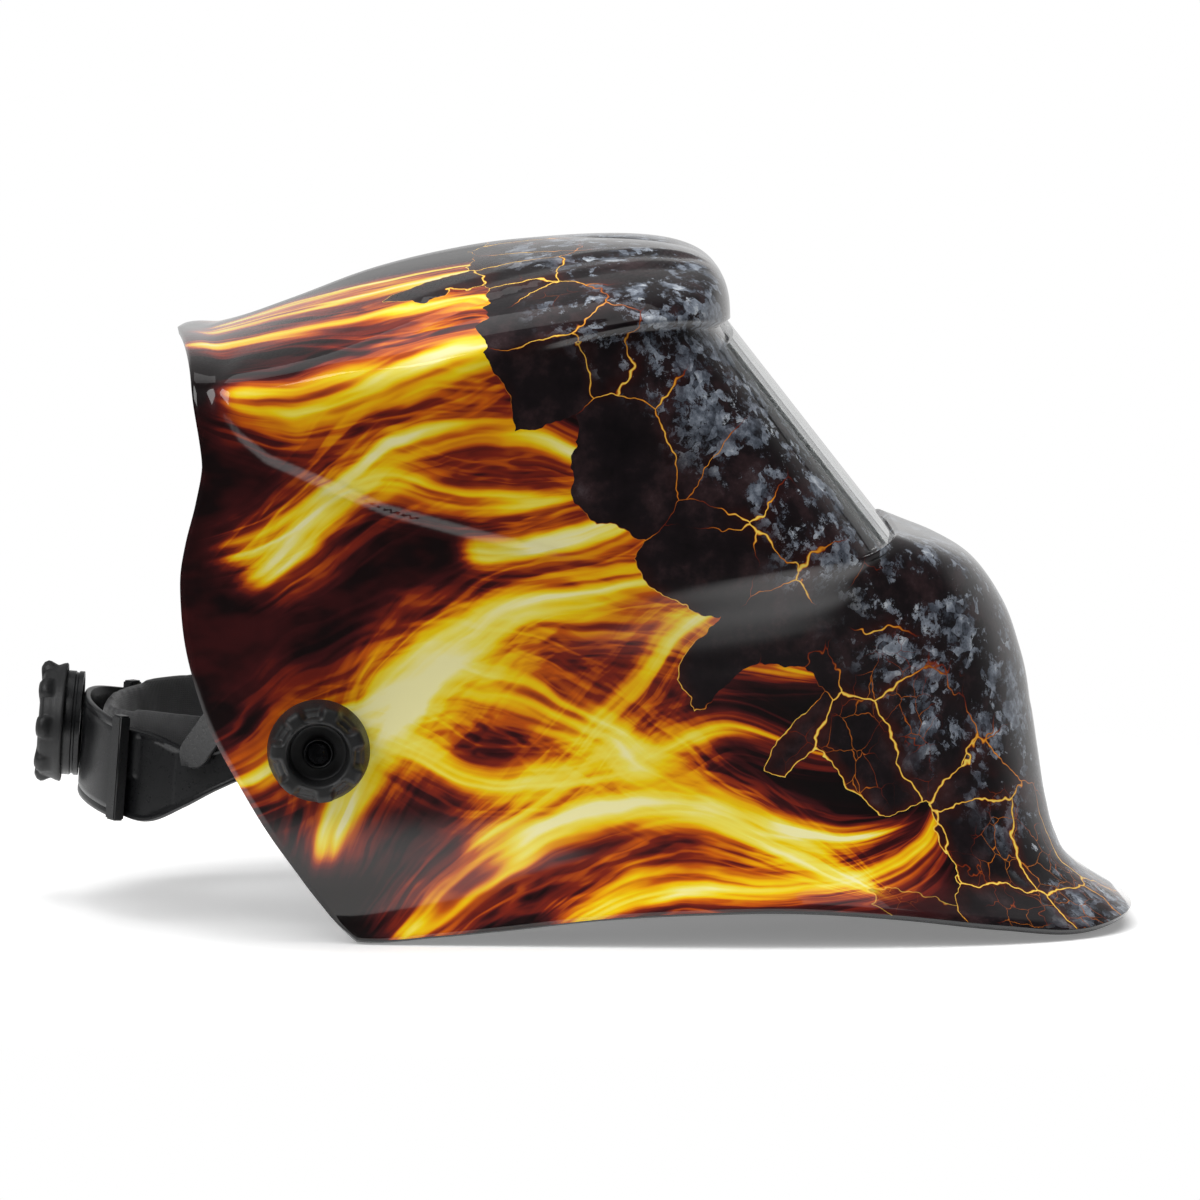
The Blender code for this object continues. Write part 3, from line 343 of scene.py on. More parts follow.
class Nodes:
    """A small builder for a node tree: values are sockets or numbers."""

    def __init__(self, tree, space="Object"):
        self.tree = tree
        self.places = tree.nodes.new("ShaderNodeTexCoord").outputs[space]

    def node(self, kind, inputs=(), **settings):
        made = self.tree.nodes.new(kind)
        for key, value in settings.items():
            setattr(made, key, value)
        for key, value in dict(inputs).items():
            if isinstance(value, bpy.types.NodeSocket):
                self.tree.links.new(value, made.inputs[key])
            else:
                made.inputs[key].default_value = value
        return made

    def math(self, operation, a, b=0.0):
        return self.node("ShaderNodeMath", {0: a, 1: b}, operation=operation).outputs[0]

    def add(self, a, b):
        return self.math("ADD", a, b)

    def times(self, a, b):
        return self.math("MULTIPLY", a, b)

    def screen(self, a, b):
        """Lays one light over another."""
        return self.math("SUBTRACT", self.add(a, b), self.times(a, b))

    def centred(self, value):
        return self.math("SUBTRACT", value, 0.5)

    def ease(self, value, low, high, out_low=0.0, out_high=1.0):
        return self.node(
            "ShaderNodeMapRange",
            {"Value": value, "From Min": low, "From Max": high, "To Min": out_low, "To Max": out_high},
            interpolation_type="SMOOTHSTEP",
        ).outputs["Result"]

    def vein(self, value, width):
        """1 on the lines where a noise passes its middle value, and 0 at width from them."""
        return self.ease(self.math("ABSOLUTE", self.centred(value)), width, 0.0)

    def noise(self, scale, detail=4.0, roughness=0.5, vector=None):
        where = self.places if vector is None else vector
        inputs = {"Vector": where, "Scale": scale, "Detail": detail, "Roughness": roughness}
        return self.node("ShaderNodeTexNoise", inputs)

    def drift(self, scale, detail, roughness):
        """Three channels of noise about zero."""
        values = {0: self.noise(scale, detail, roughness).outputs["Color"], 1: (0.5, 0.5, 0.5)}
        return self.split(self.node("ShaderNodeVectorMath", values, operation="SUBTRACT").outputs[0])

    def voronoi(self, scale, feature, vector):
        return self.node("ShaderNodeTexVoronoi", {"Vector": vector, "Scale": scale}, feature=feature)

    def ramp(self, value, stops):
        made = self.node("ShaderNodeValToRGB", {"Fac": value})
        points = made.color_ramp.elements
        while len(points) > 1:
            points.remove(points[-1])
        points[0].position, points[0].color = stops[0][0], (*stops[0][1], 1)
        for position, colour in stops[1:]:
            points.new(position).color = (*colour, 1)
        return made.outputs["Color"]

    def mix(self, share, a, b):
        made = self.node("ShaderNodeMix", data_type="RGBA")
        for socket, value in ((made.inputs[0], share), (made.inputs[6], a), (made.inputs[7], b)):
            if isinstance(value, bpy.types.NodeSocket):
                self.tree.links.new(value, socket)
            else:
                socket.default_value = (*value, 1) if isinstance(value, tuple) else value
        return made.outputs[2]

    def vector(self, x, y, z):
        return self.node("ShaderNodeCombineXYZ", {0: x, 1: y, 2: z}).outputs[0]

    def split(self, vector):
        return self.node("ShaderNodeSeparateXYZ", {0: vector}).outputs


class Shader(Nodes):
    """A node material of its own, built round one Principled BSDF."""

    def __init__(self, name):
        self.material = bpy.data.materials.new(name)
        self.material.use_nodes = True
        super().__init__(self.material.node_tree)
        self.main = self.tree.nodes["Principled BSDF"]

    def set(self, **values):
        for key, value in values.items():
            socket = self.main.inputs[key.replace("_", " ").title().replace("Ior", "IOR")]
            if isinstance(value, bpy.types.NodeSocket):
                self.tree.links.new(value, socket)
            else:
                socket.default_value = value
        return self

    def bump(self, height, distance, strength, name="Normal"):
        made = self.node("ShaderNodeBump", {"Height": height, "Distance": distance, "Strength": strength})
        self.tree.links.new(made.outputs[0], self.main.inputs[name])


# ---------------- shell paint

# Flame ribbons of our own design, drawn on the shell's unrolled side: (x, girth up from the rim) in mm.
# Each is (centre line from its root to its tip, widest half width, heat).
FLAMES = (
    (((-52, 58), (-18, 76), (22, 100), (58, 104), (96, 84), (134, 56), (176, 48), (214, 66)), 17, 1.0),
    (((-6, 20), (10, 58), (34, 98), (68, 132), (104, 142), (142, 150), (176, 178)), 14, 1.0),
    (((10, 86), (44, 116), (78, 130), (112, 126), (146, 116), (186, 112)), 13, 0.9),
    (((14, -14), (44, 14), (82, 40), (124, 52), (164, 40), (200, 12)), 18, 1.0),
    (((-34, 134), (-4, 160), (34, 190), (76, 198), (108, 184), (128, 158)), 14, 0.9),
    (((44, 150), (78, 156), (108, 168), (134, 188), (156, 196)), 10, 0.9),
    (((-44, 150), (-14, 158), (20, 176), (52, 172), (88, 176), (126, 190)), 9, 0.7),
    (((-24, 92), (16, 84), (60, 62), (100, 66), (140, 88), (180, 84), (206, 92)), 11, 0.8),
    (((70, -10), (112, 16), (154, 14), (190, 30), (214, 60), (222, 84)), 13, 1.0),
    (((40, 30), (76, 56), (108, 98), (130, 128), (158, 142), (184, 134)), 10, 0.8),
    (((-40, 214), (-4, 208), (34, 216), (66, 230), (98, 228), (124, 238)), 13, 1.0),
    (((-52, 244), (-16, 252), (20, 246), (58, 262), (92, 258), (118, 270)), 15, 1.0),
    (((-52, 286), (-14, 290), (28, 282), (66, 296), (108, 292), (140, 300)), 14, 1.0),
    (((-44, 300), (-10, 305), (30, 302), (70, 316), (112, 315)), 8, 0.85),
)
RIBBON_STEPS = 90


def ribbon_field(chart, centre, width):
    """Where each chart point lies on a ribbon: along it, across it (1 at its edge), and its strength."""
    centre = np.array(centre, float)
    knots = np.concatenate([[0], np.cumsum(np.hypot(*np.diff(centre, axis=0).T))])
    run = np.linspace(0, knots[-1], RIBBON_STEPS)
    line = np.column_stack([smooth_curve(knots, centre[:, 0], run), smooth_curve(knots, centre[:, 1], run)])
    aim = np.gradient(line, axis=0)
    aim /= np.linalg.norm(aim, axis=1)[:, None]
    away = chart[:, None, :] - line[None, :, :]
    nearest = np.argmin((away**2).sum(axis=2), axis=1)
    place = np.arange(len(chart))
    offset = away[place, nearest]
    near_aim = aim[nearest]
    along = run[nearest] + (offset * near_aim).sum(axis=1)
    across = near_aim[:, 0] * offset[:, 1] - near_aim[:, 1] * offset[:, 0]
    share = np.clip(along / knots[-1], 0, 1)
    half = width * np.sin(np.pi * (0.12 + 0.86 * share) ** 0.9) ** 0.8 + 0.5
    beyond = np.maximum(-along, along - knots[-1])
    strength = (1 - ease(beyond, -0.10 * knots[-1], 0)) * ease(share, 0.0, 0.12)
    return np.column_stack([along / 100, np.clip(across / half, -4, 4), strength])


FIRE_STOPS = (
    (0.00, (0.0035, 0.002, 0.0022)), (0.07, (0.008, 0.0025, 0.003)), (0.19, (0.055, 0.007, 0.008)),
    (0.32, (0.22, 0.020, 0.009)), (0.44, (0.60, 0.105, 0.005)), (0.57, (0.88, 0.38, 0.003)),
    (0.70, (0.93, 0.66, 0.006)), (0.86, (0.95, 0.82, 0.12)), (1.00, (0.97, 0.91, 0.46)),
)


def streaks(s, along, across, seed, detail, roughness, stretch):
    """Noise that follows a ribbon."""
    where = s.vector(s.times(along, stretch[0]), s.times(across, stretch[1]), seed)
    return s.noise(1.0, detail, roughness, where).outputs[0]


def flames(s, place):
    """The fire's colour, from the heat of every ribbon and a faint haze between them."""
    sway, curl = s.drift(11.0, 3.0, 0.55), s.drift(30.0, 2.0, 0.5)
    heat = None
    for number, (_, _, warmth) in enumerate(FLAMES):
        seed = 3.7 * number
        guide = s.split(s.node("ShaderNodeAttribute", attribute_name=f"ribbon_{number}").outputs["Vector"])
        along = s.add(guide[0], s.times(sway[0], 0.3))
        across = s.add(s.add(guide[1], s.times(sway[1 + number % 2], 1.7)), s.times(curl[number % 3], 0.35))
        apart = s.math("ABSOLUTE", across)
        body, veil = s.ease(apart, 1.25, 0.0), s.ease(apart, 2.5, 0.4)
        fold = s.vein(streaks(s, along, across, seed, 1.0, 0.4, (1.1, 0.75)), 0.13)
        silk = s.ease(streaks(s, along, across, seed + 2.0, 1.6, 0.5, (1.3, 2.6)), 0.30, 0.70)
        wisp = s.vein(streaks(s, along, across, seed + 5.0, 2.5, 0.6, (1.5, 1.5)), 0.11)
        core = s.times(body, s.add(s.add(0.24, s.times(fold, 0.42)), s.times(silk, 0.50)))
        smoke = s.times(veil, s.add(0.03, s.add(s.times(wisp, 0.30), s.times(silk, 0.08))))
        one = s.times(s.times(s.math("MAXIMUM", core, smoke), warmth), guide[2])
        heat = one if heat is None else s.screen(heat, one)
    drawn = s.vector(place[0], s.times(place[1], 0.5), s.times(place[2], 1.8))
    haze = s.noise(13.0, 4.0, 0.6, drawn).outputs[0]
    return s.ramp(s.add(heat, s.times(s.ease(haze, 0.44, 0.72), 0.17)), FIRE_STOPS)


# The rock begins where x + ROCK_SLOPE z passes ROCK_START, in metres in the shared frame, and its flecks and
# its cooling follow x + FRONT_SLOPE z
ROCK_START, ROCK_EDGE, ROCK_SLOPE, FRONT_SLOPE = 0.147, 0.0015, 0.72, 0.9
ROCK_STOPS = (
    (0.30, (0.003, 0.0022, 0.003)), (0.50, (0.010, 0.0065, 0.008)), (0.62, (0.030, 0.016, 0.018)),
    (0.74, (0.07, 0.05, 0.055)),
)
MINERAL_STOPS = (
    (0.34, (0.012, 0.012, 0.016)), (0.48, (0.085, 0.098, 0.125)), (0.60, (0.24, 0.27, 0.32)),
    (0.72, (0.60, 0.64, 0.68)),
)
LAVA_STOPS = (
    (0.0, (0.01, 0.002, 0.002)), (0.3, (0.20, 0.02, 0.004)), (0.6, (0.80, 0.30, 0.02)),
    (0.9, (0.94, 0.72, 0.12)),
)


def cracked_rock(s, place):
    """The rock's share of the paint, in whole blocks along its edge, and its colour."""
    push = s.noise(26.0, 4.0, 0.62).outputs["Color"]
    push = s.node("ShaderNodeVectorMath", {0: push, "Scale": 0.022}, operation="SCALE").outputs[0]
    torn = s.node("ShaderNodeVectorMath", {0: s.places, 1: push}, operation="ADD").outputs[0]
    blocks = s.voronoi(34.0, "F1", torn)
    gaps = s.voronoi(34.0, "DISTANCE_TO_EDGE", torn).outputs["Distance"]
    chips = s.voronoi(105.0, "DISTANCE_TO_EDGE", torn).outputs["Distance"]
    centre = s.split(blocks.outputs["Position"])
    border = s.add(centre[0], s.times(centre[2], ROCK_SLOPE))
    ragged = s.times(s.centred(s.split(blocks.outputs["Color"])[0]), 0.035)
    share = s.ease(s.add(border, ragged), ROCK_START, ROCK_START + ROCK_EDGE)
    rock = s.ramp(s.noise(60.0, 8.0, 0.68).outputs[0], ROCK_STOPS)

    # Pale mineral flecks toward the front
    depth = s.add(place[0], s.times(place[2], FRONT_SLOPE))
    patch = s.centred(s.noise(15.0, 3.0, 0.55).outputs[0])
    front = s.ease(s.add(depth, s.times(patch, 0.13)), 0.168, 0.205)
    pale = s.noise(46.0, 12.0, 0.78).outputs[0]
    facet = s.split(s.voronoi(240.0, "F1", torn).outputs["Color"])[0]
    fleck = s.times(s.ease(s.add(pale, s.times(facet, 0.07)), 0.535, 0.57), front)
    mineral = s.add(s.times(s.noise(150.0, 6.0, 0.7).outputs[0], 0.8), s.times(facet, 0.2))
    rock = s.mix(fleck, rock, s.ramp(mineral, MINERAL_STOPS))

    # Glowing cracks, in patches, that go cold toward the front
    vary = s.noise(16.0, 2.0, 0.5).outputs[0]
    cooling = s.ease(s.add(depth, s.times(patch, 0.06)), 0.228, 0.190)
    split_open = s.ease(gaps, s.ease(vary, 0.35, 0.7, 0.008, 0.026), 0.0)
    hair = s.times(s.ease(chips, 0.022, 0.0), s.ease(vary, 0.50, 0.64))
    lava = s.math("MAXIMUM", split_open, s.times(hair, 0.5))
    warm = s.times(s.ease(gaps, 0.16, 0.0), s.times(s.ease(vary, 0.42, 0.62), cooling))
    rock = s.mix(s.times(warm, 0.6), rock, (0.06, 0.008, 0.005))
    lava = s.times(s.times(lava, s.ease(vary, 0.36, 0.54)), cooling)
    return share, s.mix(s.ease(lava, 0.08, 0.35), rock, s.ramp(lava, LAVA_STOPS))


def shell_paint():
    """Fire at the sides and rear, rock at the front, and a clear coat over both."""
    s = Shader("flame_paint")
    place = s.split(s.places)
    fire = flames(s, place)
    share, rock = cracked_rock(s, place)
    grain = s.noise(900.0, 2.0, 0.5).outputs[0]
    peel = s.noise(260.0, 2.0, 0.5).outputs[0]
    s.set(base_color=s.mix(share, fire, rock), roughness=s.ease(grain, 0.2, 0.8, 0.30, 0.42),
          specular_ior_level=0.15, coat_weight=1.0, coat_roughness=0.03, coat_ior=1.5)
    s.bump(peel, 0.00004, 0.35, name="Coat Normal")
    s.bump(grain, 0.00002, 0.3)
    return s.material


def shell_inside():
    s = Shader("shell_inside")
    grain = s.noise(500.0).outputs[0]
    s.set(base_color=(0.012, 0.012, 0.013, 1), roughness=s.ease(grain, 0.3, 0.7, 0.5, 0.62))
    s.bump(s.noise(1500.0).outputs[0], 0.00004, 0.5)
    return s.material


def shell_edge():
    s = Shader("shell_edge")
    grain = s.noise(400.0).outputs[0]
    s.set(base_color=(0.006, 0.006, 0.007, 1), roughness=s.ease(grain, 0.3, 0.7, 0.16, 0.26), coat_weight=0.6,
          coat_roughness=0.05)
    return s.material


# ---------------- shell

# How the crease between roof and side is rounded: over which rows, and fading where along the shell
SOFT_ROWS, SOFT_X, SOFT_PASSES = (7, 14), (10, 95), 90
WINDOW_HALF_WIDTH, WINDOW_HALF_HEIGHT, WINDOW_CORNER = 52, 41, 7
PIVOT_BORE = 4.6


def soften_eave(skin, eave_row):
    """Rounds the crease where roof meets side, fully at the rear and not at all over the window."""
    rows_away = np.abs(np.arange(len(skin)) - eave_row)[:, None]
    weight = (1 - ease(rows_away, *SOFT_ROWS)) * (1 - ease(skin[eave_row, :, 0], *SOFT_X))[None, :]
    for _ in range(SOFT_PASSES):
        middle = (skin[2:] + skin[:-2]) / 2
        skin[1:-1] += 0.5 * weight[1:-1, :, None] * (middle - skin[1:-1])
    return skin


def build_shell():
    """The shell's skin, its points on one side, and their chart: x and the girth up from the rim."""
    columns, roof_rows = 130, 56
    rounds = np.linspace(0, 1, columns)
    falls = np.linspace(0, 1, roof_rows)
    below_window = BRIDGE_SHARE[0] + np.array([0.002, 0.004, 0.006])
    shares = np.concatenate([np.linspace(0, BRIDGE_SHARE[0], 56), below_window, np.linspace(0.432, 1.0, 90)])
    rows = [roof_points(fall, rounds) for fall in falls] + [face_points(share, rounds) for share in shares]
    skin = soften_eave(np.array([np.column_stack(row) for row in rows]), roof_rows)
    points = []
    for x, half, z in skin.transpose(0, 2, 1):
        half = raise_cheek(x, half, z)
        half[0] = 0.0
        points.append(np.column_stack([x, -half, z]))
    cloud = np.array(points)
    steps = np.linalg.norm(np.diff(cloud[::-1], axis=0), axis=2)
    girth = np.concatenate([np.zeros((1, columns)), np.cumsum(steps, axis=0)])[::-1]
    chart = np.column_stack([cloud[:, :, 0].ravel(), girth.ravel()])
    shell = new_object("shell_skin", [tuple(p) for p in cloud.reshape(-1, 3)], grid_faces(len(rows), columns))
    modifier(shell, "MIRROR", "other_side", use_axis=(False, True, False), merge_threshold=0.0001)
    modifier(shell, "SOLIDIFY", "wall", thickness=WALL * MM, offset=-1, material_offset=1,
             material_offset_rim=2)
    return shell, cloud.reshape(-1, 3), chart


def guide_paint(shell, cloud, chart):
    """Gives every point of the cut shell its place on each flame ribbon."""
    tree = KDTree(len(cloud))
    for number, point in enumerate(cloud):
        tree.insert(point, number)
    tree.balance()
    home = BASE.inverted()
    spots = []
    for vertex in shell.data.vertices:
        x, y, z = home @ vertex.co / MM
        spots.append(tree.find((x, -abs(y), z))[1])
    places = chart[spots]
    for number, (centre, width, _) in enumerate(FLAMES):
        layer = shell.data.attributes.new(f"ribbon_{number}", "FLOAT_VECTOR", "POINT")
        layer.data.foreach_set("vector", ribbon_field(places, centre, width).astype(np.float32).ravel())


shell, shell_cloud, shell_chart = build_shell()
for finish in (shell_paint(), shell_inside(), shell_edge()):
    shell.data.materials.append(finish)
boolean(shell, plate_tool("window_tool", WINDOW_HALF_WIDTH, WINDOW_HALF_HEIGHT, WINDOW_CORNER, 30, WINDOW))
boolean(shell, peg_tool("bore_tool", 0, 0, PIVOT_BORE, BASE))
guide_paint(shell, shell_cloud, shell_chart)
stand_in(shell, "shell", "shell")

# ---------------- finishes of the CAD nodes


def moulded(name, colour, roughness):
    s = Shader(name)
    cloud = s.noise(45.0, 3.0).outputs[0]
    tone = s.mix(s.ease(cloud, 0.3, 0.7), tuple(c * 0.8 for c in colour), tuple(c * 1.2 for c in colour))
    texture = s.noise(1400.0, 3.0, 0.6).outputs[0]
    s.set(base_color=tone, roughness=s.ease(texture, 0.25, 0.75, roughness - 0.06, roughness + 0.08))
    s.bump(texture, 0.00005, 0.6)
    return s.material


def metal(name, colour, roughness):
    """Turned metal, with its scratches round the side-to-side axis."""
    s = Shader(name)
    x, y, z = s.split(s.places)
    scratch = s.noise(300.0, 4.0, 0.6, s.vector(x, s.times(y, 12.0), z)).outputs[0]
    rough = s.ease(scratch, 0.3, 0.7, roughness - 0.06, roughness + 0.1)
    s.set(base_color=(*colour, 1), metallic=1.0, roughness=rough)
    s.bump(scratch, 0.00002, 0.4)
    return s.material


BLACK = moulded("black_nylon", (0.0055, 0.0058, 0.0066), 0.32)
GRIP = moulded("soft_grip", (0.0105, 0.0108, 0.0112), 0.50)
STEEL = metal("steel", (0.55, 0.55, 0.57), 0.30)
BLACK_STEEL = metal("black_steel", (0.035, 0.035, 0.038), 0.22)
FINISH = {"black_nylon": BLACK, "soft_grip": GRIP, "steel": STEEL}


def clear_material(name, tint):
    """Clear plate with a painted pale reflection where it is seen at a slant."""
    s = Shader(name)
    film = s.noise(30.0, 3.0).outputs[0]
    slant = s.node("ShaderNodeLayerWeight", {"Blend": 0.35}).outputs["Facing"]
    # Painted reflection: where the plate is seen at a slant its colour turns pale grey and it lets less light
    # through
    slant_reflection = s.ease(slant, 0.45, 0.95)
    s.set(base_color=s.mix(slant_reflection, tint, (0.86, 0.88, 0.88)), ior=1.5,
          roughness=s.ease(film, 0.35, 0.7, 0.0, 0.03),
          transmission_weight=s.ease(slant_reflection, 0.0, 1.0, 1.0, 0.15))
    return s.material


def dark_glass(name, deep, light):
    s = Shader(name)
    s.set(base_color=s.mix(s.noise(20.0).outputs[0], deep, light), roughness=0.04, coat_weight=1.0,
          coat_roughness=0.02)
    return s.material


FINISH["clear_lens"] = clear_material("clear_polycarbonate", (0.93, 0.95, 0.95))
FINISH["filter_glass"] = dark_glass("filter_glass", (0.006, 0.02, 0.01), (0.012, 0.035, 0.02))
FINISH["solar_cell"] = moulded("solar_cell", (0.02, 0.012, 0.05), 0.2)
FINISH["circuit_board"] = moulded("circuit_board", (0.01, 0.09, 0.03), 0.4)
FINISH["pad_fabric"] = moulded("pad_fabric", (0.02, 0.02, 0.022), 0.9)

slots = {part["node"]: part["material_slot"] for part in frame["record"]["subparts"]}
for name, node in frame["nodes"].items():
    finish = BLACK_STEEL if name.startswith("pivot_bolt") else FINISH.get(slots[name])
    if finish:
        for place in node.material_slots:
            place.material = finish
        if not node.material_slots:
            node.data.materials.append(finish)

# ---------------- turned pieces with shaped rims

TURNED_GRAIN = 0.9
AXIS_BACK = Matrix.Rotation(math.radians(-90), 4, "Y")


def lathe(name, profile, steps, matrix, shape=None):
    """A closed turned piece: profile is a loop of (radius, height), and shape moves it by angle."""
    points = []
    for i in range(steps):
        angle = 2 * math.pi * i / steps
        for radius, height in profile:
            r, h = shape(angle, radius, height) if shape else (radius, height)
            points.append((r * math.cos(angle), r * math.sin(angle), h))
    obj = new_object(name, points, ring_faces(steps, len(profile), closed=True), matrix)
    outward_normals(obj, 50, merge=1e-6)
    return obj


def refine(profile):
    """The same profile with no run longer than TURNED_GRAIN."""
    fine = []
    for (r0, h0), (r1, h1) in zip(profile, profile[1:] + profile[:1]):
        cuts = max(1, math.ceil(math.hypot(r1 - r0, h1 - h0) / TURNED_GRAIN))
        fine += [(r0 + (r1 - r0) * k / cuts, h0 + (h1 - h0) * k / cuts) for k in range(cuts)]
    return fine


TENSION_SCOOPS, SCOOP_DEPTH, SCOOP_FALL = 7, 1.7, 2.9
TENSION_PROFILE = (
    (4.3, 106.5), (17.1, 106.5), (17.6, 106.9), (17.7, 108.0), (17.2, 114.0), (16.7, 119.0), (16.4, 120.6),
    (15.7, 121.5), (14.6, 121.9), (11.6, 121.95), (11.0, 121.7), (10.6, 121.0), (10.2, 118.0), (9.7, 113.9),
    (9.3, 113.5), (5.6, 113.5), (5.2, 113.8), (5.0, 116.2), (4.75, 116.6), (4.45, 116.4), (4.3, 115.8),
)


def tension_knob(word, side):
    """A knob with smooth scoops round its rim and a well round its bolt."""

    def scoop(angle, radius, height):
        depth = float(ease(math.cos(TENSION_SCOOPS * angle), -0.7, 0.6))
        at_side = float(ease(height, 108.5, 120.0) * ease(radius, 12.4, 15.2))
        at_face = float(ease(radius, 11.8, 14.2) * ease(height, 115.0, 120.5))
        return radius - SCOOP_DEPTH * depth * at_side, height - SCOOP_FALL * depth * at_face

    axis = HEAD @ Matrix.Rotation(math.radians(-90 * side), 4, "X")
    knob = lathe(f"tension_knob_{word}_detail", refine(TENSION_PROFILE), 252, axis, scoop)
    stand_in(knob, f"tension_control_{word}", f"tension_knob_{word}", GRIP)


SIZE_LOBES, LOBE_HALF_WIDTH, LOBE_REACH, LOBE_RISE, LOBE_CIRCLE = 8, 4.2, 2.0, 1.0, 20.0
DRUM_HEIGHT = -10.0
SIZE_PROFILE = (
    (0.0, 86.3), (2.9, 86.3), (3.0, 98.3), (18.4, 98.3), (19.3, 97.4), (19.5, 92.4), (20.1, 91.5),
    (20.9, 91.5), (21.2, 91.9), (20.9, 93.2), (20.1, 95.0), (19.7, 97.6), (19.0, 99.0), (17.4, 99.9),
    (14.5, 100.3), (8.0, 100.5), (0.0, 100.5),
)


def size_knob():
    """A knob with round lobes at the corner of its rim."""

    def lobe(angle, radius, height):
        nearest = round(angle / (2 * math.pi / SIZE_LOBES)) * 2 * math.pi / SIZE_LOBES
        off = (angle - nearest) * LOBE_CIRCLE
        bulge = math.sqrt(max(0.0, 1 - (off / LOBE_HALF_WIDTH) ** 2))
        corner = float(ease(height, 94.5, 97.5) * ease(radius, 13.5, 17.0))
        return radius + LOBE_REACH * bulge * corner, height + LOBE_RISE * bulge * corner

    axis = HEAD @ Matrix.Translation((0, 0, DRUM_HEIGHT * MM)) @ AXIS_BACK
    knob = lathe("size_knob_detail", refine(SIZE_PROFILE), 240, axis, lobe)
    stand_in(knob, "size_control", "size_knob", GRIP)


DRUM_LOW, DRUM_BACK = 85.5, 97.0
DRUM_PROFILE = (
    (18.2, DRUM_BACK), (18.6, DRUM_BACK - 0.4), (18.6, DRUM_LOW + 3.0), (18.1, DRUM_LOW + 2.6),
    (18.1, DRUM_LOW + 2.0), (18.6, DRUM_LOW + 1.6), (18.6, DRUM_LOW), (16.4, DRUM_LOW), (16.4, DRUM_BACK - 2),
    (4.4, DRUM_BACK - 2), (4.4, DRUM_BACK),
)


def ratchet_drum():
    axis = HEAD @ Matrix.Translation((0, 0, DRUM_HEIGHT * MM)) @ AXIS_BACK
    drum = lathe("ratchet_housing_detail", DRUM_PROFILE, 160, axis)
    stand_in(drum, "headgear", "ratchet_housing", BLACK)


# ---------------- headgear strips

STRIP_SHARP = 42
HOOP_CENTRE, HOOP_LENGTH, HOOP_WIDTH, HOOP_POWER = 15.0, 94.5, 79.0, 2.4
BAND_THICKNESS, BAND_END = 2.2, 149
SADDLE_LIFT, SADDLE_ANGLE = 1.0, 145.0
TRACK_SLIDE, TRACK_RADIUS = 10.8, 7.7
RIVET_X, RIVET_BORE = (-25.0, 31.0), 2.8
# Along x: the middle and the half of each strip's height
BAND_HEIGHTS = (
    (-86, -70, -57, -45, -34, -20, -8, 12, 44, 80, 112),
    (-15, -19, -20, -18, -13.5, -4, 0, 1, 10, 24, 31),
    (16, 15.5, 15.5, 10.5, 7.5, 10, 13.5, 13.5, 13, 14, 15),
)
PAD_HEIGHTS = ((-80, -70, -50, -32), (-14.5, -12.5, -10.5, -8), (13.5, 14.5, 16, 14))
# Where round the band each strap starts, its level there, its crown's x and height, its lean, width and lift
STRAPS = {
    "front": (64.0, 8.0, 42.0, 122.0, 0.0, 16.0, 4.2),
    "rear": (123.0, -13.0, 16.0, 118.0, 0.85, 12.0, 6.0),
}
STRAP_STEPS, STRAP_BUNCH, STRAP_SWEEP, STRAP_OVERLAP = 64, 1.4, 1.6, 14.0
STRAP_SECTION = (
    (-1, 0.35), (-0.94, 0), (0.94, 0), (1, 0.35), (1, 1.45), (0.94, 1.8), (0, 1.8), (-0.94, 1.8), (-1, 1.45),
)
PIN_BORE, ROW_BORE, ROW_SPACING, LAP = 2.4, 2.0, 9.0, 3.0


def hoop_point(angle, grow=0.0):
    """The headband's inner line seen from above, from the forehead round to the nape."""
    power = 2 / HOOP_POWER
    c, s = math.cos(angle), math.sin(angle)
    x = HOOP_CENTRE + (HOOP_LENGTH + grow) * math.copysign(abs(c) ** power, c)
    return x, (HOOP_WIDTH + grow) * math.copysign(abs(s) ** power, s)


def tube(name, points, count, matrix):
    """A closed skin over rings of count points each, with both ends filled."""
    rings = len(points) // count
    ends = [tuple(reversed(range(count))), tuple(range((rings - 1) * count, rings * count))]
    obj = new_object(name, points, ends + ring_faces(rings, count), matrix)
    outward_normals(obj, STRIP_SHARP)
    return obj


def strip_ring(half, thickness, radius, across):
    """One closed section of a strip, as (height, depth): rounded corners, and outer points for relief."""
    cut = radius * 0.3
    ring = [(-half + radius, 0), (-half + cut, cut), (-half, radius), (-half, thickness - radius),
            (-half + cut, thickness - cut)]
    ring += [(h, thickness) for h in np.linspace(-half + radius, half - radius, across)]
    ring += [(half - cut, thickness - cut), (half, thickness - radius), (half, radius), (half - cut, cut)]
    ring += [(h, 0) for h in np.linspace(half - radius, -half + radius, 6)[:-1]]
    return ring


def strip(name, start, end, grow, thickness, heights, steps, shrink=0.0, radius=0.5, relief=None, across=34):
    """A strip round the hoop, with relief(x, height, half) raising its outer face."""
    points = []
    for i in range(steps + 1):
        angle = math.radians(start + (end - start) * i / steps)
        x, y = hoop_point(angle, grow)
        ax, ay = hoop_point(angle - 0.01, grow)
        bx, by = hoop_point(angle + 0.01, grow)
        out = Vector((by - ay, -(bx - ax), 0)).normalized()
        middle = float(smooth_curve(heights[0], heights[1], x))
        half = float(smooth_curve(heights[0], heights[2], x)) - shrink
        ring = strip_ring(half, thickness, radius, across)
        for height, depth in ring:
            if relief and depth >= thickness:
                depth += relief(x, middle + height, half - abs(height))
            points.append((x + out.x * depth, y + out.y * depth, middle + height))
    return tube(name, points, len(ring), HEAD)


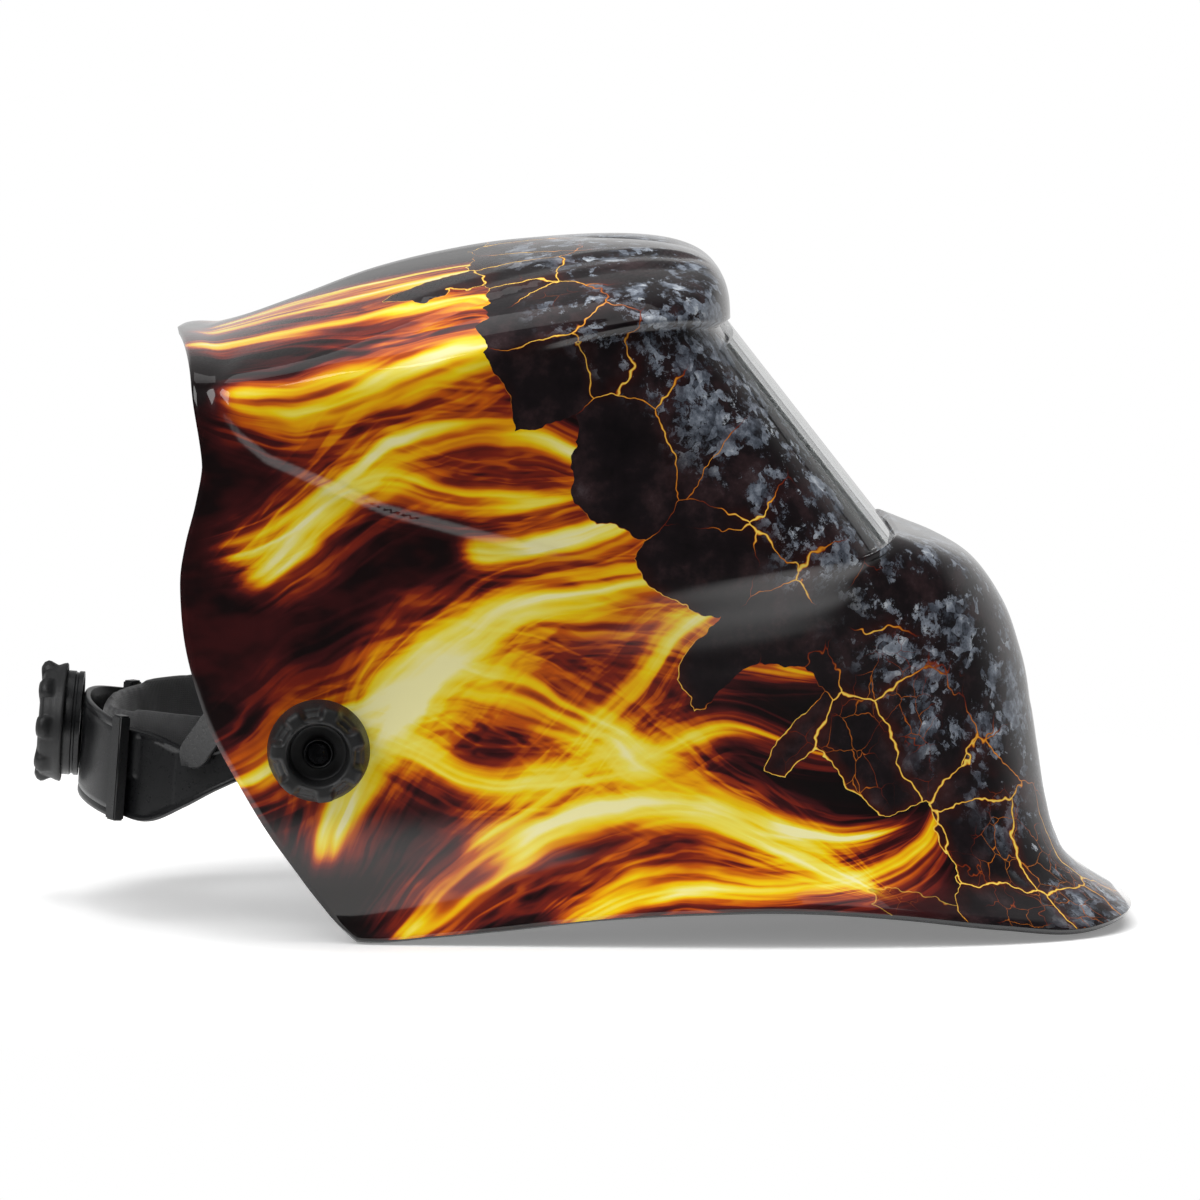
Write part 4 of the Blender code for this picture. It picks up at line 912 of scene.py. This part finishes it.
def headband():
    """The band with its rim, raised side panels, pivot tracks and rivet holes."""

    def relief(x, z, inset):
        rim = 0.9 * (1 - float(ease(inset, 1.4, 2.4)))
        plate = 0.85 * float(ease(x, -61.2, -62.2) * ease(z, -21.5, -20.5))
        panel = 0.6 * float(ease(x, -48.6, -47.6)) * float(1 - ease(x, -12.5, -11.5))
        return max(rim * float(1 - ease(x, -14, -12)), plate, panel)

    band = strip("headband_detail", -BAND_END, BAND_END, 0, BAND_THICKNESS, BAND_HEIGHTS, 420, relief=relief)
    boolean(band, peg_tool("track_tool", 0, TRACK_SLIDE, TRACK_RADIUS))
    for x in RIVET_X:
        boolean(band, peg_tool("rivet_tool", x, 0, RIVET_BORE))
    stand_in(band, "headgear", "headband", BLACK)


def rounded_box(name, size, radius, matrix):
    mesh = bmesh.new()
    bmesh.ops.create_cube(mesh, size=1.0)
    bmesh.ops.scale(mesh, vec=Vector(size) * MM, verts=mesh.verts)
    bmesh.ops.bevel(mesh, geom=mesh.edges[:], offset=radius * MM, segments=3, affect="EDGES")
    mesh.transform(matrix)
    data = bpy.data.meshes.new(name)
    mesh.to_mesh(data)
    mesh.free()
    return link(name, data)


def saddle():
    """The grip round the nape, with a groove inside its edge and a ridge at each end."""

    def relief(x, z, inset):
        return -0.4 * float(ease(inset, 2.2, 2.6) * (1 - ease(inset, 3.0, 3.4)))

    lift = BAND_THICKNESS + SADDLE_LIFT
    back = strip("rear_saddle_detail", SADDLE_ANGLE, 360 - SADDLE_ANGLE, lift, 2.4, BAND_HEIGHTS, 240,
                 shrink=-1.6, radius=0.7, relief=relief)
    x, y = hoop_point(math.radians(SADDLE_ANGLE + 1.5))
    for side in (-1, 1):
        lean = Matrix.Rotation(-side * math.atan2(0.62, 1.0), 4, "Z")
        place = HEAD @ Matrix.Translation(Vector((x - 3.6, side * (y + 5.0), -18.0)) * MM) @ lean
        boolean(back, rounded_box("ridge_tool", (4.2, 6.4, 37.0), 0.6, place), "UNION")
    back.data.set_sharp_from_angle(angle=math.radians(STRIP_SHARP))
    stand_in(back, "headgear", "rear_saddle", BLACK)


def strap(key, side, word):
    """Half of a strap over the head, rounded at its foot, with a row of holes at its crown."""
    degrees, level, top, rise, lean, width, lift = STRAPS[key]
    angle = math.radians(degrees)
    foot, near, far = hoop_point(angle, lift), hoop_point(angle - 0.01), hoop_point(angle + 0.01)
    tangent = Vector((near[0] - far[0], near[1] - far[1], 0)).normalized()
    high = rise + lift - (LAP if side < 0 else 0.0)
    line = []
    for i in range(STRAP_STEPS + 1):
        t = math.radians(90 * (i / STRAP_STEPS) ** STRAP_BUNCH)
        swept = math.sin(min(STRAP_SWEEP * t, math.pi / 2))
        x = foot[0] + (top - foot[0]) * (lean * swept + (1 - lean) * (1 - math.cos(t)))
        line.append(Vector((x, foot[1] * max(math.cos(t), 0) ** 0.8, level + (high - level) * math.sin(t))))
    line.append(line[-1] + Vector((0, -STRAP_OVERLAP, -1.0)))
    points, climbed = [], 0.0
    for i, point in enumerate(line):
        run = line[min(i + 1, STRAP_STEPS + 1)] - line[max(i - 1, 0)]
        run = run.normalized() if i else Vector((0, 0, 1))
        climbed += (point - line[i - 1]).length if i else 0.0
        across = tangent.lerp(Vector((1, 0, 0)), float(ease((i / STRAP_STEPS) ** STRAP_BUNCH, 0.0, 0.7)))
        across = (across - run * across.dot(run)).normalized()
        out = run.cross(across)
        if out.dot(point - Vector((point.x * 0.9, 0, 10))) < 0:
            out = -out
        short = max(0.0, 1 - climbed / (width / 2))
        half = width / 2 * math.sqrt(max(0.04, 1 - short**2))
        for h, depth in STRAP_SECTION:
            place = point + across * half * h + out * depth
            points.append((place.x, side * place.y, place.z))
    made = tube(f"{key}_strap_{word}_detail", points, len(STRAP_SECTION), HEAD)
    pin = HEAD @ Matrix.Translation(Vector((top, 0, rise + lift)) * MM)
    boolean(made, plug_tool("pin_tool", PIN_BORE, 20, pin))
    for number in (1, 2, 3):
        hole = pin @ Matrix.Translation(Vector((0, side * ROW_SPACING * number, 0)) * MM)
        boolean(made, plug_tool("row_tool", ROW_BORE, 20, hole))
    made.data.set_sharp_from_angle(angle=math.radians(40))
    stand_in(made, "headgear", f"{key}_strap_{word}", BLACK)


# ---------------- pads


def fabric(name, colour):
    s = Shader(name)
    place = s.split(s.places)
    around = s.times(s.math("ARCTAN2", place[1], s.add(place[0], 0.0785)), 0.085)
    flat = s.vector(around, place[2], 0.0)
    thread = {"Vector": flat, "Scale": 420.0, "Distortion": 0.6}
    warp, weft = (s.node("ShaderNodeTexWave", thread, bands_direction=way).outputs["Fac"] for way in "XY")
    weave = s.math("MAXIMUM", warp, weft)
    soft = s.noise(55.0, 4.0, 0.6).outputs[0]
    tone = s.mix(s.ease(soft, 0.3, 0.7), tuple(c * 0.7 for c in colour), tuple(c * 1.4 for c in colour))
    s.set(base_color=tone, roughness=s.ease(weave, 0.0, 1.0, 0.95, 0.8), sheen_weight=0.35)
    s.main.inputs["Sheen Roughness"].default_value = 0.5
    s.bump(s.add(s.times(weave, 0.6), s.times(soft, 0.4)), 0.00025, 0.6)
    return s.material


PAD_CAP, PAD_SLACK = 1.1 * MM, 0.8
PAD_VOXEL = 1.9 * MM
CLOTH_FRAMES = 20


def puff(pad):
    """Fills the pad with air, no point moving further than the cap."""
    rest = np.array([v.co for v in pad.data.vertices])
    cloth = modifier(pad, "CLOTH", "puff")
    cloth.settings.use_pressure = True
    cloth.settings.uniform_pressure_force = 4.0
    cloth.settings.effector_weights.gravity = 0.0
    cloth.settings.tension_stiffness = 20.0
    scene = bpy.context.scene
    for frame_number in range(1, CLOTH_FRAMES + 1):
        scene.frame_set(frame_number)
    graph = bpy.context.evaluated_depsgraph_get()
    settled = np.array([v.co for v in pad.evaluated_get(graph).data.vertices])
    pad.modifiers.clear()
    scene.frame_set(1)
    move = settled - rest
    length = np.linalg.norm(move, axis=1)
    move *= (np.minimum(length, PAD_CAP) / np.maximum(length, 1e-9))[:, None]
    pad.data.vertices.foreach_set("co", (rest + move).astype(np.float32).ravel())
    pad.data.update()


def pad(name, node, start, end, grow, thickness, heights, shrink):
    """A pad smaller than its space by the cap all round, remeshed, puffed and smoothed."""
    slack = PAD_CAP / MM * PAD_SLACK
    made = strip(name, start + 0.6, end - 0.6, grow + slack, thickness - 2 * slack, heights, 120,
                 shrink=shrink + slack, radius=1.2, across=12)
    modifier(made, "REMESH", "voxels", mode="VOXEL", voxel_size=PAD_VOXEL)
    apply_modifiers(made)
    puff(made)
    modifier(made, "SMOOTH", "soften", iterations=12, factor=0.5)
    modifier(made, "SUBSURF", "subdivision", levels=1, render_levels=1)
    apply_modifiers(made)
    made.data.shade_smooth()
    stand_in(made, "headgear", node, PAD_CLOTH)


for hand, word in ((-1, "right"), (1, "left")):
    tension_knob(word, hand)
    for row in STRAPS:
        strap(row, hand, word)
size_knob()
ratchet_drum()
headband()
saddle()
PAD_CLOTH = fabric("pad_cloth", (0.018, 0.018, 0.019))
pad("rear_pad_soft", "rear_pad", 117, 243, -6.2, 5.6, PAD_HEIGHTS, 0.0)
pad("sweatband_soft", "sweatband", -62, 62, -6.0, 5.4, BAND_HEIGHTS, 2.0)

# ---------------- stage

FLOOR_RADIUS, FLOOR_DROP = 620.0, 0.0003
FLOOR_FADE, FLOOR_FADE_FRONT = (0.60, 0.22), (-0.34, -0.16)


def floor():
    """A pale disc that thins out with distance and toward the camera."""
    paper = Shader("floor_paper")
    paper.set(base_color=paper.mix(paper.noise(3.0).outputs[0], (0.93, 0.93, 0.93), (0.96, 0.96, 0.96)),
              roughness=0.75, emission_color=(1.0, 1.0, 1.0, 1), emission_strength=0.22)
    far = paper.node("ShaderNodeVectorMath", {0: paper.places}, operation="LENGTH").outputs["Value"]
    before = paper.ease(paper.split(paper.places)[1], *FLOOR_FADE_FRONT)
    paper.set(alpha=paper.times(paper.ease(far, *FLOOR_FADE), before))
    ring = [(x, y, 0) for x, y in circle(FLOOR_RADIUS, 96)]
    place = Matrix.Translation((0, 0, -FLOOR_DROP))
    disc = new_object("floor", ring, [tuple(range(len(ring)))], place, smooth=False)
    disc.data.materials.append(paper.material)


def studio():
    """A world that is white to the camera, and to everything else dim with a glow low down behind."""
    world = bpy.data.worlds.new("studio")
    bpy.context.scene.world = world
    world.use_nodes = True
    sky = Nodes(world.node_tree, "Generated")
    _, back, height = sky.split(sky.places)
    glow = sky.times(sky.ease(back, 0.0, 0.6), sky.ease(height, 0.10, 0.5, 0.75, 0.22))
    around = sky.node("ShaderNodeBackground", {"Strength": sky.add(glow, 0.05)})
    seen = sky.tree.nodes["Background"]
    seen.inputs["Color"].default_value = (1, 1, 1, 1)
    seen.inputs["Strength"].default_value = 1.0
    direct = sky.node("ShaderNodeLightPath").outputs["Is Camera Ray"]
    both = sky.node("ShaderNodeMixShader", {0: direct, 1: around.outputs[0], 2: seen.outputs[0]})
    sky.tree.links.new(both.outputs[0], sky.tree.nodes["World Output"].inputs["Surface"])


def softbox(name, where, aim, size, power, mirrored=True):
    data = bpy.data.lights.new(name, "AREA")
    data.shape = "RECTANGLE"
    data.size, data.size_y = size
    data.energy = power
    lamp = link(name, data)
    lamp.visible_glossy = mirrored
    lamp.location = where
    lamp.rotation_euler = (Vector(aim) - Vector(where)).to_track_quat("-Z", "Y").to_euler()


floor()
studio()
softbox("overhead", (0.0, -0.15, 1.9), (0, 0, 0.1), (2.4, 1.4), 34, mirrored=False)
softbox("key", (-1.3, -1.1, 1.5), (-0.05, 0, 0.12), (1.6, 1.3), 25)
softbox("fill", (1.3, -1.9, 0.9), (0.05, 0, 0.12), (0.35, 0.9), 6, mirrored=False)
softbox("sheen", (0.1, 0.1, 2.2), (0, 0, 0.1), (2.6, 0.9), 5)
softbox("back", (0.2, 1.7, 1.5), (0, 0, 0.1), (1.8, 0.5), 12, mirrored=False)

# ---------------- camera

AZIMUTH, ELEVATION, ROLL = math.radians(-1.5), math.radians(6.0), math.radians(1.1)
DISTANCE, FRAME_WIDTH, SENSOR = 2.75, 1200 / 2800, 36.0
TARGET = Vector((0.0050, 0.0, 0.1101))

camera_data = bpy.data.cameras.new("camera")
camera = link("camera", camera_data)
level = math.cos(ELEVATION)
toward = Vector((level * math.sin(AZIMUTH), -level * math.cos(AZIMUTH), math.sin(ELEVATION)))
right = Vector((math.cos(AZIMUTH), math.sin(AZIMUTH), 0))
up = right.cross(-toward)
turn = Matrix.Rotation(ROLL, 3, toward)
axes = Matrix((turn @ right, turn @ up, toward)).transposed().to_4x4()
camera.matrix_world = Matrix.Translation(TARGET + toward * DISTANCE) @ axes
camera_data.sensor_width = SENSOR
camera_data.lens = SENSOR * DISTANCE / FRAME_WIDTH
camera_data.clip_end = 50
bpy.context.scene.camera = camera
bpy.context.scene.view_settings.view_transform = "Standard"
